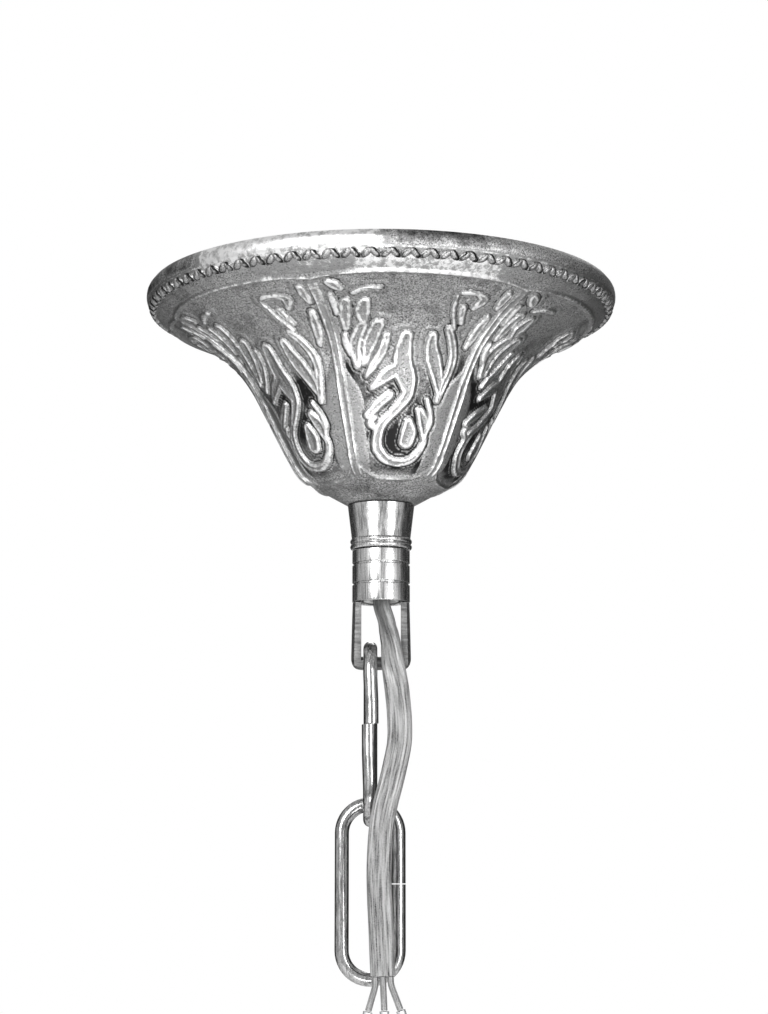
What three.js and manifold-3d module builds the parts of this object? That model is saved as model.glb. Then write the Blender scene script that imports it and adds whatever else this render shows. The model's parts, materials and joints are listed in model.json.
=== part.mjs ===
// Ceiling canopy and suspension set of a chandelier, in millimetres, +Z up.
// The origin lies on the canopy's axis in the ceiling plane, and the canopy's front faces -Y.
// Everything hangs on a threaded nipple: the bracket holds it at the ceiling, the canopy hides
// the wiring, and the sleeve, barrel and yoke screw onto its lower end and carry the chain.
import * as THREE from "three";
import { mergeVertices } from "three/addons/utils/BufferGeometryUtils.js";
import Module from "manifold-3d";

const wasm = await Module();
wasm.setup();

// Driving dimensions
const clearance = 0.3; // between pieces that touch
const overcut = 1; // how far a cutting shape reaches past what it cuts
const ceilingGap = 0.4; // between the canopy's rim and the ceiling

const canopyRadius = 65;
const canopyHeight = 60;
const canopyWall = 0.9;
const canopyWasherRadius = 7;
const rimBand = 5; // plain band below the rim, measured along the wall
const beadRow = 3.8; // height of the row of beads along the wall
const beadHeight = 1.2;
const beadsPerPanel = 13;
const panelCount = 6;
const panelTurn = 11.5; // degrees from the front to the middle of the front panel, to the right
const panelTop = 12.7; // from the rim to the panels' upper line, along the wall
const panelFoot = 9.2; // from the neck to the panels' lower line, along the wall
const lineHeight = 0.6; // raised lines round the panels
const lineWidth = 1.5;
const ribHeight = 0.9; // raised ribs between the panels
const ribWidth = 2.4;
const leafHeight = 1.0;
const lobeHalf = 1.5; // half the width of the leaf's main lobes
const lobeEdge = 1.1; // how wide the slope at a lobe's edge is

const nippleRadius = 5;
const nippleBore = 4;
const nippleAbove = 5; // how far it stands above the bracket's strap
const threadPitch = 1;
const holeClearance = 0.3; // round the nipple, in everything that is threaded or slipped on it

const strapThickness = 1.6;
const strapWidth = 20;
const bracketDrop = 24; // from the ceiling to the top of the strap's middle
const bracketInside = 20; // from the axis to the strap's legs
const bracketReach = 58; // from the axis to the ends of the strap's feet
const slotLength = 8;
const slotWidth = 4.5;
const slotFromEnd = 8; // from the end of a foot to the middle of its slot

const nutFlats = 14;
const nutHeight = 3.5;
const washerThickness = 0.8;
const washerRadius = 8;
const bushWall = 1;
const bushEdge = 0.5; // the bushes' rounded edges
const exitBushHeight = 3;

const sleeveTopRadius = 9.1;
const sleeveFootRadius = 8.1;
const sleeveLength = 12.2;
const ringHeight = 1.5; // each of the two thin rings at the sleeve's foot
const ringProud = 0.35;
const barrelRadius = 7.85;
const barrelLength = 14.1;
const barrelWall = 1.05;
const barrelFlange = 2.2; // thickness of its upper end
const grooveDepth = 0.45;
const grooveWidth = 0.7;
const upperGroove = 3.4; // from the barrel's top
const lowerGroove = 8.8;

const yokeDepth = 7; // front to back
const yokeSpread = 8.15; // from the axis to a leg's outer face at the foot
const yokeInside = 5.4; // from the axis to a leg's inner face
const yokeDrop = 18.1; // from the barrel's lip to the foot of the yoke
const yokeBar = 3.3;
const yokeCorner = 3;
const yokeRingHeight = 10;

const wireDiameter = 3.8;
const linkLength = 50;
const linkWidth = 19;
const chainOffset = -2.9; // the chain rests beside the yoke's left leg
const jointGap = 0.3;
const jointOffset = 0.35; // how far each end of a link's wire has sprung sideways
const jointRise = 2;

const cableWidth = 6.6;
const cableThickness = 2.6;
const coreRadius = 0.85;
const conductorRadius = 0.6;
const ferruleRadius = 0.95;
const ferruleLength = 6;
const fanLength = 9; // how far the lower cores run out of the sheath
const fanSpread = 2.2; // how far the outer two have parted there
const strippedLength = 3; // from the sheath's end to where an upper core turns to the block
const coilRadius = 39.6; // of the outer turn
const coilPitch = 3.1;
const coilDepth = 15.2; // from the ceiling to the middle of the coil

const blockWidth = 21;
const blockDepth = 17;
const blockHeight = 9.5;
const blockFromAxis = 34;
const poleCount = 3;
const polePitch = 7;
const poleDrop = 4.2; // from the block's top to the inserts' axis
const insertRadius = 2;
const insertBore = 1.3;
const insertLength = 14;
const clampScrewRadius = 1.2;
const clampScrewSpread = 4.4; // from the middle of an insert to each of its screws
const fixingScrewHead = 2.2;
const fixingSink = 2; // how deep its head sits in the block
const screwSlot = 0.6; // width of the slot in every screw
const earthFromAxis = 33;
const earthScrewRadius = 2;
const earthHeadRadius = 3.5;

const roundSegments = 24;
const smallSegments = 10; // on screws and their holes

// Places along the axis, from the ceiling down
const strapTop = -bracketDrop;
const strapBottom = strapTop - strapThickness;
const canopyTop = -ceilingGap;
const canopyBottom = canopyTop - canopyHeight;
const canopyFloor = canopyBottom + canopyWall;
const sleeveTop = canopyBottom - clearance;
const sleeveBottom = sleeveTop - sleeveLength;
const barrelTop = sleeveBottom - clearance;
const barrelBottom = barrelTop - barrelLength;
const legTop = barrelBottom - clearance;
const yokeBottom = barrelBottom - yokeDrop;
const barTop = yokeBottom + yokeBar;
const yokeRingBottom = barrelBottom + clearance;
const yokeRingTop = yokeRingBottom + yokeRingHeight;
const nippleTop = strapTop + nippleAbove;
const exitBushTop = yokeRingBottom + exitBushHeight;
const nippleBottom = exitBushTop + clearance;
const holeRadius = nippleRadius + holeClearance;
const barrelInside = barrelRadius - barrelWall;
const yokeRingRadius = barrelInside - clearance;

const footDrop = strapThickness; // the feet's lower face
const blockTop = -footDrop - clearance;
const blockBottom = blockTop - blockHeight;
const poleDepth = blockTop - poleDrop;

// Finishes
function finish(color, roughness, metalness) {
  return new THREE.MeshStandardMaterial({ color, roughness, metalness });
}
const chrome = finish(0x9a9a9a, 0.15, 1);
const castMetal = finish(0x9c9c9a, 0.55, 0.9);
const zincSteel = finish(0x8f9194, 0.4, 1);
const brass = finish(0xb59a5a, 0.35, 1);
const blockPlastic = finish(0xe8e6e0, 0.5, 0);
const bushPlastic = finish(0xd8d8d6, 0.45, 0);
const clearSheath = finish(0xb4b4b0, 0.25, 0);
const coreSheath = finish(0xbfbfbb, 0.4, 0);

const part = new THREE.Group();

// A closed geometry as a manifold solid whose faces point outwards.
function solid(geometry) {
  const bare = geometry.clone();
  bare.deleteAttribute("normal");
  bare.deleteAttribute("uv");
  const merged = mergeVertices(bare, 1e-4);
  const corners = merged.index.array;
  const faces = [];
  for (let i = 0; i < corners.length; i += 3) {
    const [a, b, c] = [corners[i], corners[i + 1], corners[i + 2]];
    if (a !== b && b !== c && c !== a) faces.push([a, b, c]);
  }
  const build = (list) =>
    new wasm.Manifold(
      new wasm.Mesh({
        numProp: 3,
        vertProperties: merged.attributes.position.array,
        triVerts: new Uint32Array(list.flat()),
      }),
    );
  const made = build(faces);
  return made.volume() > 0 ? made : build(faces.map(([a, b, c]) => [a, c, b]));
}

function addPiece(name, shape, material) {
  const { vertProperties, triVerts, numProp } = shape.getMesh();
  const corners = new Float32Array((vertProperties.length / numProp) * 3);
  for (let i = 0; i < corners.length / 3; i += 1) {
    corners.set(vertProperties.subarray(i * numProp, i * numProp + 3), i * 3);
  }
  const geometry = new THREE.BufferGeometry();
  geometry.setAttribute("position", new THREE.BufferAttribute(corners, 3));
  geometry.setIndex(new THREE.BufferAttribute(triVerts, 1));
  geometry.computeVertexNormals();
  const mesh = new THREE.Mesh(geometry, material);
  mesh.name = name;
  part.add(mesh);
  return mesh;
}

// A piece turned about the Z axis, from its outline as [radius, height] points.
function turned(outline, segments = roundSegments) {
  const points = outline.map(([r, z]) => new THREE.Vector2(Math.max(r, 0), z));
  const geometry = new THREE.LatheGeometry(points, segments);
  return solid(geometry.rotateX(Math.PI / 2));
}

// A turned piece with a hole: its outline is closed on itself.
function turnedRing(outline, segments = roundSegments) {
  return turned([...outline, outline[0]], segments);
}

function pipe(outer, inner, bottom, top, segments = roundSegments) {
  const outline = [
    [inner, bottom],
    [outer, bottom],
    [outer, top],
    [inner, top],
  ];
  return turnedRing(outline, segments);
}

function cylinder(radius, bottom, top, segments = roundSegments) {
  const geometry = new THREE.CylinderGeometry(radius, radius, top - bottom, segments);
  geometry.rotateX(Math.PI / 2);
  return solid(geometry.translate(0, 0, (top + bottom) / 2));
}

function box(low, high) {
  const size = high.map((value, axis) => value - low[axis]);
  const middle = high.map((value, axis) => (value + low[axis]) / 2);
  return solid(new THREE.BoxGeometry(...size).translate(...middle));
}

// An outline in the XZ plane, drawn as a THREE.Shape, extruded over a depth centred on Y = 0.
function plateAcrossY(shape, depth, curveSegments = 6) {
  const geometry = new THREE.ExtrudeGeometry(shape, { depth, bevelEnabled: false, curveSegments });
  geometry.translate(0, 0, -depth / 2);
  return solid(geometry.rotateX(Math.PI / 2));
}

// A closed tube through rings of points that all have as many points, with a flat end on each side.
function tubeThrough(rings) {
  const sides = rings[0].length;
  const corners = rings.flat();
  const faces = [];
  for (let i = 0; i + 1 < rings.length; i += 1) {
    for (let j = 0; j < sides; j += 1) {
      const next = (j + 1) % sides;
      const [a, b] = [i * sides + j, i * sides + next];
      faces.push(a, b, b + sides, a, b + sides, a + sides);
    }
  }
  const last = (rings.length - 1) * sides;
  for (let j = 1; j + 1 < sides; j += 1) {
    faces.push(0, j + 1, j, last, last + j, last + j + 1);
  }
  const geometry = new THREE.BufferGeometry();
  const values = corners.flatMap((point) => point.toArray());
  geometry.setAttribute("position", new THREE.Float32BufferAttribute(values, 3));
  geometry.setIndex(faces);
  return solid(geometry);
}

// A ring of a swept section at one point: across and up are unit vectors square to the path.
function sectionRing(centre, across, up, section) {
  return section.map(([x, y]) =>
    centre.clone().addScaledVector(across, x).addScaledVector(up, y),
  );
}

function roundSection(radius, sides) {
  return Array.from({ length: sides }, (_, i) => {
    const angle = ((i + 0.5) / sides) * 2 * Math.PI;
    return [radius * Math.cos(angle), radius * Math.sin(angle)];
  });
}

// The canopy

// Its meridian, from the rim to the neck, as shares of the radius and the height.
const bell = [
  [0.981, 0],
  [0.997, 0.025],
  [0.998, 0.062],
  [0.98, 0.09],
  [0.938, 0.133],
  [0.852, 0.183],
  [0.757, 0.233],
  [0.668, 0.3],
  [0.6, 0.367],
  [0.545, 0.45],
  [0.503, 0.533],
  [0.424, 0.7],
  [0.384, 0.783],
  [0.335, 0.867],
  [0.25, 0.933],
];
const neckRadius = sleeveTopRadius + 0.2;
const meridian = new THREE.SplineCurve([
  ...bell.map(([r, depth]) => new THREE.Vector2(r * canopyRadius, -depth * canopyHeight)),
  new THREE.Vector2(neckRadius, -canopyHeight),
]);
const wallLength = meridian.getLength();
const panelLength = wallLength - panelTop - panelFoot;
const panelAngle = (2 * Math.PI) / panelCount;

function bump(distance, halfWidth) {
  const share = Math.min(Math.abs(distance) / halfWidth, 1);
  return (1 - share * share) ** 2;
}

// The leaf of one half panel. Each lobe is a bent stroke through a few places, and at each place it
// has a half width, as a share of lobeHalf. A place is [u, t]: u runs from the panel's middle line
// to its rib and t from its upper line to its foot, both from 0 to 1.
const centreLobe = [[0.16, 0.373], [0.16, 0.448], [0.26, 0.52], [0.52, 0.586]];
const thinLobe = [[0.31, 0.359], [0.36, 0.431], [0.5, 0.494], [0.58, 0.536]];
const wideLobe = [[0.4, 0.303], [0.51, 0.384], [0.62, 0.466]];
const outerLobe = [[0.59, 0.307], [0.72, 0.392], [0.7, 0.492]];
const upperLobe = [[0.56, 0.188], [0.58, 0.229], [0.58, 0.274]];
const topCurl = [[0.64, 0.124], [0.53, 0.102], [0.39, 0.096]];
const ribLobe = [[0.75, 0.177], [0.78, 0.248], [0.8, 0.315]];
const cornerLobe = [[0.86, 0.049], [0.81, 0.069], [0.76, 0.097]];
const lowLobe = [[0.24, 0.618], [0.43, 0.658], [0.61, 0.702]];
const stem = [[0, 0.483], [0.04, 0.53], [0.16, 0.596]];
const loopSide = [[0.02, 0.575], [0.1, 0.621], [0.22, 0.666], [0.37, 0.743], [0.46, 0.806]];
const loopFoot = [[0.46, 0.806], [0.45, 0.851], [0.28, 0.893], [0, 0.909]];
const drop = [[0, 0.679], [0, 0.757], [0, 0.836]];
const lobes = [
  { line: centreLobe, halves: [1, 1, 1, 0.4] },
  { line: thinLobe, halves: [0.6, 0.7, 0.6, 0.3] },
  { line: wideLobe, halves: [0.95, 0.8, 0.35] },
  { line: outerLobe, halves: [0.8, 0.8, 0.35] },
  { line: upperLobe, halves: [1.05, 1.25, 0.75] },
  { line: topCurl, halves: [0.5, 0.6, 0.4] },
  { line: ribLobe, halves: [0.85, 0.85, 0.5] },
  { line: cornerLobe, halves: [0.4, 0.75, 0.5] },
  { line: lowLobe, halves: [0.55, 0.75, 0.55] },
  { line: stem, halves: [0.6, 0.95, 0.6] },
  { line: loopSide, halves: [0.4, 0.5, 0.65, 0.75, 0.8] },
  { line: loopFoot, halves: [0.8, 0.8, 0.8, 0.8] },
  { line: drop, halves: [0.3, 0.75, 1.25] },
];

function wallRadius(along) {
  return meridian.getPointAt(THREE.MathUtils.clamp(along / wallLength, 0, 1)).x;
}

// A place on a panel in millimetres: across from its middle line and down from its upper line.
function panelPlace(u, t) {
  const down = t * panelLength;
  return new THREE.Vector2((u * panelAngle * wallRadius(panelTop + down)) / 2, down);
}

const strokes = lobes.map(({ line, halves }) => {
  const curve = new THREE.SplineCurve(line.map(([u, t]) => panelPlace(u, t)));
  const steps = 6 * (line.length - 1);
  const points = curve.getPoints(steps);
  return points.map((point, i) => {
    const place = (i / steps) * (halves.length - 1);
    const low = Math.min(Math.floor(place), halves.length - 2);
    const half = THREE.MathUtils.lerp(halves[low], halves[low + 1], place - low) * lobeHalf;
    return { point, half };
  });
});

function leafRelief(place) {
  let depth = -lobeEdge;
  for (const { point, half } of strokes.flat()) {
    depth = Math.max(depth, half - point.distanceTo(place));
  }
  return leafHeight * THREE.MathUtils.smoothstep(depth, -lobeEdge / 2, lobeEdge / 2);
}

// How far the wall stands out at an angle from the front and a distance along it from the rim.
function relief(angle, along) {
  const turns = (angle - THREE.MathUtils.degToRad(panelTurn)) / panelAngle;
  const u = 2 * Math.abs(turns - Math.round(turns));
  const down = along - panelTop;
  const radius = wallRadius(along);
  const fromRib = ((1 - u) * panelAngle * radius) / 2;
  const footLine = panelLength * (1 - 0.12 * u ** 4);
  const beads = bump(along - rimBand - beadRow / 2, beadRow / 2);
  const beadWave = 0.5 + 0.5 * Math.cos(2 * Math.PI * turns * beadsPerPanel);
  let height = beadHeight * beads * (0.15 + 0.85 * beadWave);
  height = Math.max(height, lineHeight * bump(down, lineWidth));
  height = Math.max(height, lineHeight * bump(down - footLine, lineWidth));
  if (down > 0 && down < footLine) {
    height = Math.max(height, ribHeight * bump(fromRib, ribWidth));
    height = Math.max(height, leafRelief(panelPlace(u, down / panelLength)));
  }
  return height;
}

// Rows of the wall: close where the bands and lines are, wider on the panels.
const panelRows = 17;
const rowPlaces = [
  0,
  rimBand / 2,
  rimBand,
  rimBand + beadRow / 2,
  rimBand + beadRow,
  panelTop - lineWidth,
  panelTop,
  ...Array.from({ length: panelRows }, (_, i) => panelTop + ((i + 0.4) * panelLength) / panelRows),
  wallLength - panelFoot,
  wallLength - panelFoot + lineWidth,
  wallLength - panelFoot / 3,
  wallLength,
];

function canopyOutside() {
  const columns = 2 * beadsPerPanel * panelCount;
  const start = THREE.MathUtils.degToRad(panelTurn);
  const rings = rowPlaces.map((along) => {
    const share = along / wallLength;
    const point = meridian.getPointAt(share);
    const tangent = meridian.getTangentAt(share);
    return Array.from({ length: columns }, (_, j) => {
      const angle = start + (j / columns) * 2 * Math.PI;
      const height = along === 0 || along === wallLength ? 0 : relief(angle, along);
      const r = point.x - tangent.y * height;
      const z = canopyTop + point.y + tangent.x * height;
      return new THREE.Vector3(r * Math.sin(angle), -r * Math.cos(angle), z);
    });
  });
  return tubeThrough(rings);
}

function canopyInside() {
  const steps = 11;
  const outline = [
    [0, canopyFloor],
    [canopyWasherRadius + clearance, canopyFloor],
  ];
  for (let i = steps; i >= 0; i -= 1) {
    const share = (i / steps) * (1 - canopyWall / wallLength);
    const point = meridian.getPointAt(share);
    const tangent = meridian.getTangentAt(share);
    const r = point.x + tangent.y * canopyWall;
    const z = canopyTop + point.y - tangent.x * canopyWall;
    outline.push([r, Math.max(z, canopyFloor)]);
  }
  const rimInside = meridian.getPointAt(0).x - canopyWall;
  outline.push([rimInside, canopyTop + overcut], [0, canopyTop + overcut]);
  return turned(outline, 40);
}

function canopy() {
  const hole = cylinder(holeRadius, canopyBottom - overcut, canopyBottom + 2 * canopyWall);
  return canopyOutside().subtract(canopyInside()).subtract(hole);
}

const canopyWasherTop = canopyFloor + clearance + washerThickness;
addPiece("canopy", canopy(), chrome);
addPiece(
  "canopy_washer",
  pipe(canopyWasherRadius, holeRadius, canopyFloor + clearance, canopyWasherTop),
  zincSteel,
);

// The bracket and the nipple

// The strap's outline in the XZ plane: two feet at the ceiling and a hat between them.
function bracket() {
  const t = strapThickness;
  const outside = bracketInside + t;
  const shape = new THREE.Shape();
  shape.moveTo(-bracketReach, 0);
  shape.lineTo(-bracketReach, -t);
  shape.lineTo(-outside, -t);
  shape.lineTo(-outside, strapBottom);
  shape.lineTo(outside, strapBottom);
  shape.lineTo(outside, -t);
  shape.lineTo(bracketReach, -t);
  shape.lineTo(bracketReach, 0);
  shape.lineTo(bracketInside, 0);
  shape.lineTo(bracketInside, strapTop);
  shape.lineTo(-bracketInside, strapTop);
  shape.lineTo(-bracketInside, 0);
  shape.closePath();
  let made = plateAcrossY(shape, strapWidth);
  made = made.subtract(cylinder(holeRadius, strapBottom - overcut, strapTop + overcut));
  const [low, high] = [-t - overcut, overcut];
  const half = (slotLength - slotWidth) / 2;
  for (const side of [-1, 1]) {
    const middle = side * (bracketReach - slotFromEnd);
    const slot = box([middle - half, -slotWidth / 2, low], [middle + half, slotWidth / 2, high]);
    made = made.subtract(slot);
    for (const end of [-half, half]) {
      made = made.subtract(cylinder(slotWidth / 2, low, high, 12).translate([middle + end, 0, 0]));
    }
  }
  const tapped = cylinder(clampScrewRadius + clearance, low, high, smallSegments);
  const earthHole = cylinder(earthScrewRadius + clearance, low, high, 12);
  return made
    .subtract(tapped.translate([fixingPlace, 0, 0]))
    .subtract(earthHole.translate([earthFromAxis, 0, 0]));
}

// A hexagon nut on the nipple, its corners turned off at both ends.
function nut(bottom) {
  const top = bottom + nutHeight;
  const corner = nutFlats / Math.sqrt(3);
  const flat = nutFlats / 2;
  const turn = corner - flat;
  const hexagon = cylinder(corner, bottom, top, 6);
  const blank = turned([
    [0, bottom],
    [flat, bottom],
    [corner, bottom + turn / 2],
    [corner, top - turn / 2],
    [flat, top],
    [0, top],
  ]);
  return hexagon.intersect(blank).subtract(cylinder(holeRadius, bottom - overcut, top + overcut));
}

const fixingPlace = -blockFromAxis - polePitch / 2;
const lockWasherTop = strapBottom - clearance;
const lowerNutTop = lockWasherTop - washerThickness - clearance;

addPiece("ceiling_bracket", bracket(), zincSteel);
addPiece("nipple", pipe(nippleRadius, nippleBore, nippleBottom, nippleTop), zincSteel);
addPiece("nipple_nut_upper", nut(strapTop + clearance), zincSteel);
addPiece(
  "lock_washer",
  pipe(washerRadius, holeRadius, lockWasherTop - washerThickness, lockWasherTop),
  zincSteel,
);
addPiece("nipple_nut_lower", nut(lowerNutTop - nutHeight), zincSteel);

// The bush caps the nipple's upper end, with a rounded lip that the cable bends over.
const bushFoot = strapTop + clearance + nutHeight + clearance;
const bushLip = nippleTop + clearance;
const bushRadius = holeRadius + bushWall;
addPiece(
  "nipple_bush",
  turnedRing([
    [holeRadius, bushFoot],
    [bushRadius, bushFoot],
    [bushRadius, bushLip + bushEdge],
    [bushRadius - bushEdge, bushLip + bushWall],
    [nippleBore + bushEdge, bushLip + bushWall],
    [nippleBore, bushLip + bushEdge],
    [nippleBore, bushLip],
    [holeRadius, bushLip],
  ]),
  bushPlastic,
);

// The screw collar: sleeve, barrel and yoke

function sleeve() {
  const ringTop = sleeveBottom + 2 * ringHeight;
  const rings = [];
  const valley = sleeveFootRadius - 0.1;
  for (const top of [ringTop, ringTop - ringHeight]) {
    rings.push(
      [valley, top],
      [sleeveFootRadius + ringProud, top - ringHeight * 0.35],
      [sleeveFootRadius + ringProud, top - ringHeight * 0.7],
    );
  }
  return turnedRing([
    [holeRadius, sleeveTop],
    [sleeveTopRadius, sleeveTop],
    ...rings,
    [valley, sleeveBottom],
    [holeRadius, sleeveBottom],
  ]);
}

function groove(depthBelowTop) {
  const top = barrelTop - depthBelowTop;
  return [
    [barrelRadius, top],
    [barrelRadius - grooveDepth, top - grooveWidth / 2],
    [barrelRadius, top - grooveWidth],
  ];
}

function barrel() {
  const lip = barrelWall * 0.6;
  return turnedRing([
    [holeRadius, barrelTop],
    [barrelRadius - 0.3, barrelTop],
    [barrelRadius, barrelTop - 0.3],
    ...groove(upperGroove),
    ...groove(lowerGroove),
    [barrelRadius, barrelBottom + 0.2],
    [barrelRadius - 0.2, barrelBottom],
    [barrelInside + 0.1, barrelBottom + lip],
    [barrelInside, barrelTop - barrelFlange],
    [holeRadius, barrelTop - barrelFlange],
  ]);
}

const bowRadius = linkWidth / 2 - wireDiameter; // inside radius of a link's ends

// A cast U: its threaded ring sits in the barrel, and its legs leave flush with the barrel's lip.
function yoke() {
  const shape = new THREE.Shape();
  const topHalf = barrelRadius - 0.1;
  const corner = yokeCorner;
  shape.moveTo(-topHalf, legTop);
  shape.lineTo(-yokeSpread, yokeBottom + corner);
  shape.quadraticCurveTo(-yokeSpread, yokeBottom, corner - yokeSpread, yokeBottom);
  shape.lineTo(yokeSpread - corner, yokeBottom);
  shape.quadraticCurveTo(yokeSpread, yokeBottom, yokeSpread, yokeBottom + corner);
  shape.lineTo(topHalf, legTop);
  shape.closePath();
  const legs = plateAcrossY(shape, yokeDepth);
  const round = turned([
    [0, yokeBottom - overcut],
    [yokeSpread + 0.05, yokeBottom - overcut],
    [topHalf + 0.05, legTop],
    [0, legTop],
  ]);
  const [tongueLow, tongueHigh] = [legTop - 1, yokeRingBottom + 1];
  const tongues = pipe(yokeRingRadius, holeRadius, tongueLow, tongueHigh).intersect(
    box([-yokeSpread, -yokeDepth / 2, tongueLow], [yokeSpread, yokeDepth / 2, tongueHigh]),
  );
  const eye = box([-yokeInside, -yokeDepth, barTop], [yokeInside, yokeDepth, yokeRingBottom]);
  const ring = pipe(yokeRingRadius, holeRadius, yokeRingBottom, yokeRingTop);
  // The bar's upper side is round, so that a link's bow seats on it.
  const seat = cylinder(bowRadius - clearance, -yokeInside, yokeInside, 24)
    .rotate([0, 90, 0])
    .translate([0, 0, barTop - bowRadius + clearance]);
  const bar = [-yokeInside, -yokeDepth, yokeBottom - overcut];
  const corners = box(bar, [yokeInside, yokeDepth, barTop + overcut]).subtract(seat);
  return legs
    .intersect(round)
    .add(tongues)
    .subtract(eye)
    .subtract(corners)
    .add(ring);
}

addPiece("collar_sleeve", sleeve(), chrome);
addPiece("collar_barrel", barrel(), chrome);
addPiece("yoke", yoke(), castMetal);
addPiece(
  "exit_bush",
  turnedRing([
    [nippleBore, exitBushTop],
    [nippleRadius, exitBushTop],
    [nippleRadius, yokeRingBottom + bushEdge],
    [nippleRadius - bushEdge / 2, yokeRingBottom],
    [nippleBore + bushEdge / 2, yokeRingBottom],
    [nippleBore, yokeRingBottom + bushEdge],
  ]),
  bushPlastic,
);

// The chain

// A wire link in the YZ plane, centred on the origin. Its wire starts and ends at the butt joint
// on the front side, a little above the middle, where both ends have sprung sideways.
function link() {
  const wireRadius = wireDiameter / 2;
  const bow = linkWidth / 2 - wireRadius;
  const straight = linkLength / 2 - wireRadius - bow;
  const bowSteps = 10;
  const section = roundSection(wireRadius, 10);
  const across = new THREE.Vector3(1, 0, 0);
  const stations = [];
  const station = (x, y, z, angle) => stations.push({ centre: [x, y, z], angle });
  station(-jointOffset, -bow, jointRise - jointGap / 2, 0);
  for (let i = 0; i <= bowSteps; i += 1) {
    const angle = (Math.PI * i) / bowSteps;
    station(0, -bow * Math.cos(angle), -straight - bow * Math.sin(angle), angle);
  }
  for (let i = 0; i <= bowSteps; i += 1) {
    const angle = (Math.PI * i) / bowSteps;
    station(0, bow * Math.cos(angle), straight + bow * Math.sin(angle), Math.PI + angle);
  }
  station(jointOffset, -bow, jointRise + jointGap / 2, 2 * Math.PI);
  const rings = stations.map(({ centre, angle }) => {
    const up = new THREE.Vector3(0, -Math.cos(angle), -Math.sin(angle));
    return sectionRing(new THREE.Vector3(...centre), across, up, section);
  });
  return tubeThrough(rings);
}

const linkSpacing = linkLength - 2 * wireDiameter - clearance;
const linkOneMiddle = barTop + clearance + wireDiameter - linkLength / 2;
const linkTwoMiddle = linkOneMiddle - linkSpacing;
addPiece("link_1", link().translate([chainOffset, 0, linkOneMiddle]), chrome);
addPiece("link_2", link().rotate([0, 0, 90]).translate([chainOffset, 0, linkTwoMiddle]), chrome);

// The terminal block

const blockMiddle = [-blockFromAxis, 0, (blockTop + blockBottom) / 2];
const poles = Array.from(
  { length: poleCount },
  (_, i) => -blockFromAxis - (i - (poleCount - 1) / 2) * polePitch,
);
const wellRadius = clampScrewRadius + 2 * clearance;
const clampScrewTip = poleDepth - conductorRadius - clearance;
const clampScrewEnd = blockBottom + 0.8;

// A hole along Y through a given point.
function holeAcross(radius, length, x, z) {
  return cylinder(radius, -length / 2, length / 2, smallSegments)
    .rotate([90, 0, 0])
    .translate([x, 0, z]);
}

function terminalBlock() {
  const half = [blockWidth / 2, blockDepth / 2, blockHeight / 2];
  let made = box(
    blockMiddle.map((value, axis) => value - half[axis]),
    blockMiddle.map((value, axis) => value + half[axis]),
  );
  for (const x of poles) {
    made = made.subtract(holeAcross(insertRadius + clearance, blockDepth + 2 * overcut, x, poleDepth));
    for (const y of [-clampScrewSpread, clampScrewSpread]) {
      const well = cylinder(wellRadius, blockBottom - overcut, poleDepth, smallSegments);
      made = made.subtract(well.translate([x, y, 0]));
    }
  }
  const shankHole = clampScrewRadius + clearance;
  const shank = cylinder(shankHole, blockBottom - overcut, blockTop + overcut, smallSegments);
  const sinkRadius = fixingScrewHead + clearance;
  const sink = cylinder(sinkRadius, blockBottom - overcut, blockBottom + fixingSink, 12);
  return made.subtract(shank.add(sink).translate([fixingPlace, 0, 0]));
}

function insert(x) {
  let made = holeAcross(insertRadius, insertLength, x, poleDepth);
  made = made.subtract(holeAcross(insertBore, insertLength + 2 * overcut, x, poleDepth));
  for (const y of [-clampScrewSpread, clampScrewSpread]) {
    const radius = clampScrewRadius + clearance;
    const hole = cylinder(radius, poleDepth - insertRadius - overcut, poleDepth, smallSegments);
    made = made.subtract(hole.translate([x, y, 0]));
  }
  return made;
}

// A slotted screw along Z whose head, or driven end, looks down.
function slottedScrew(shankRadius, headRadius, tip, underHead, end) {
  const shank = cylinder(shankRadius, underHead - 0.01, tip, smallSegments);
  const head = cylinder(headRadius, end, underHead, smallSegments);
  const [length, half] = [headRadius + overcut, screwSlot / 2];
  const slot = box([-length, -half, end - overcut], [length, half, end + screwSlot]);
  return shank.add(head).subtract(slot);
}

addPiece("terminal_block", terminalBlock(), blockPlastic);
poles.forEach((x, i) => {
  addPiece(`terminal_insert_${i + 1}`, insert(x), brass);
  for (const [side, y] of [
    ["front", -clampScrewSpread],
    ["back", clampScrewSpread],
  ]) {
    const screw = slottedScrew(
      clampScrewRadius,
      clampScrewRadius,
      clampScrewTip,
      clampScrewEnd + 1,
      clampScrewEnd,
    );
    addPiece(`clamp_screw_${side}_${i + 1}`, screw.translate([x, y, 0]), zincSteel);
  }
});
const fixingHeadTop = blockBottom + fixingSink - clearance;
addPiece(
  "block_fixing_screw",
  slottedScrew(
    clampScrewRadius,
    fixingScrewHead,
    -clearance,
    fixingHeadTop,
    fixingHeadTop - 1.4,
  ).translate([fixingPlace, 0, 0]),
  zincSteel,
);

// The earth screw goes up through the strap's other foot, with a cup washer under its head.
const earthWasherBottom = -footDrop - clearance - washerThickness;
const earthHeadTop = earthWasherBottom - clearance;
addPiece(
  "earth_screw",
  slottedScrew(
    earthScrewRadius,
    earthHeadRadius,
    -clearance,
    earthHeadTop,
    earthHeadTop - 2.4,
  ).translate([earthFromAxis, 0, 0]),
  brass,
);
addPiece(
  "earth_washer",
  pipe(
    earthHeadRadius + 1.2,
    earthScrewRadius + clearance,
    earthWasherBottom,
    earthWasherBottom + washerThickness,
  ).translate([earthFromAxis, 0, 0]),
  brass,
);

// The cable: clear and flat, with three cores side by side

const coreSpacing = cableWidth / 2 - cableThickness / 2;

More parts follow.
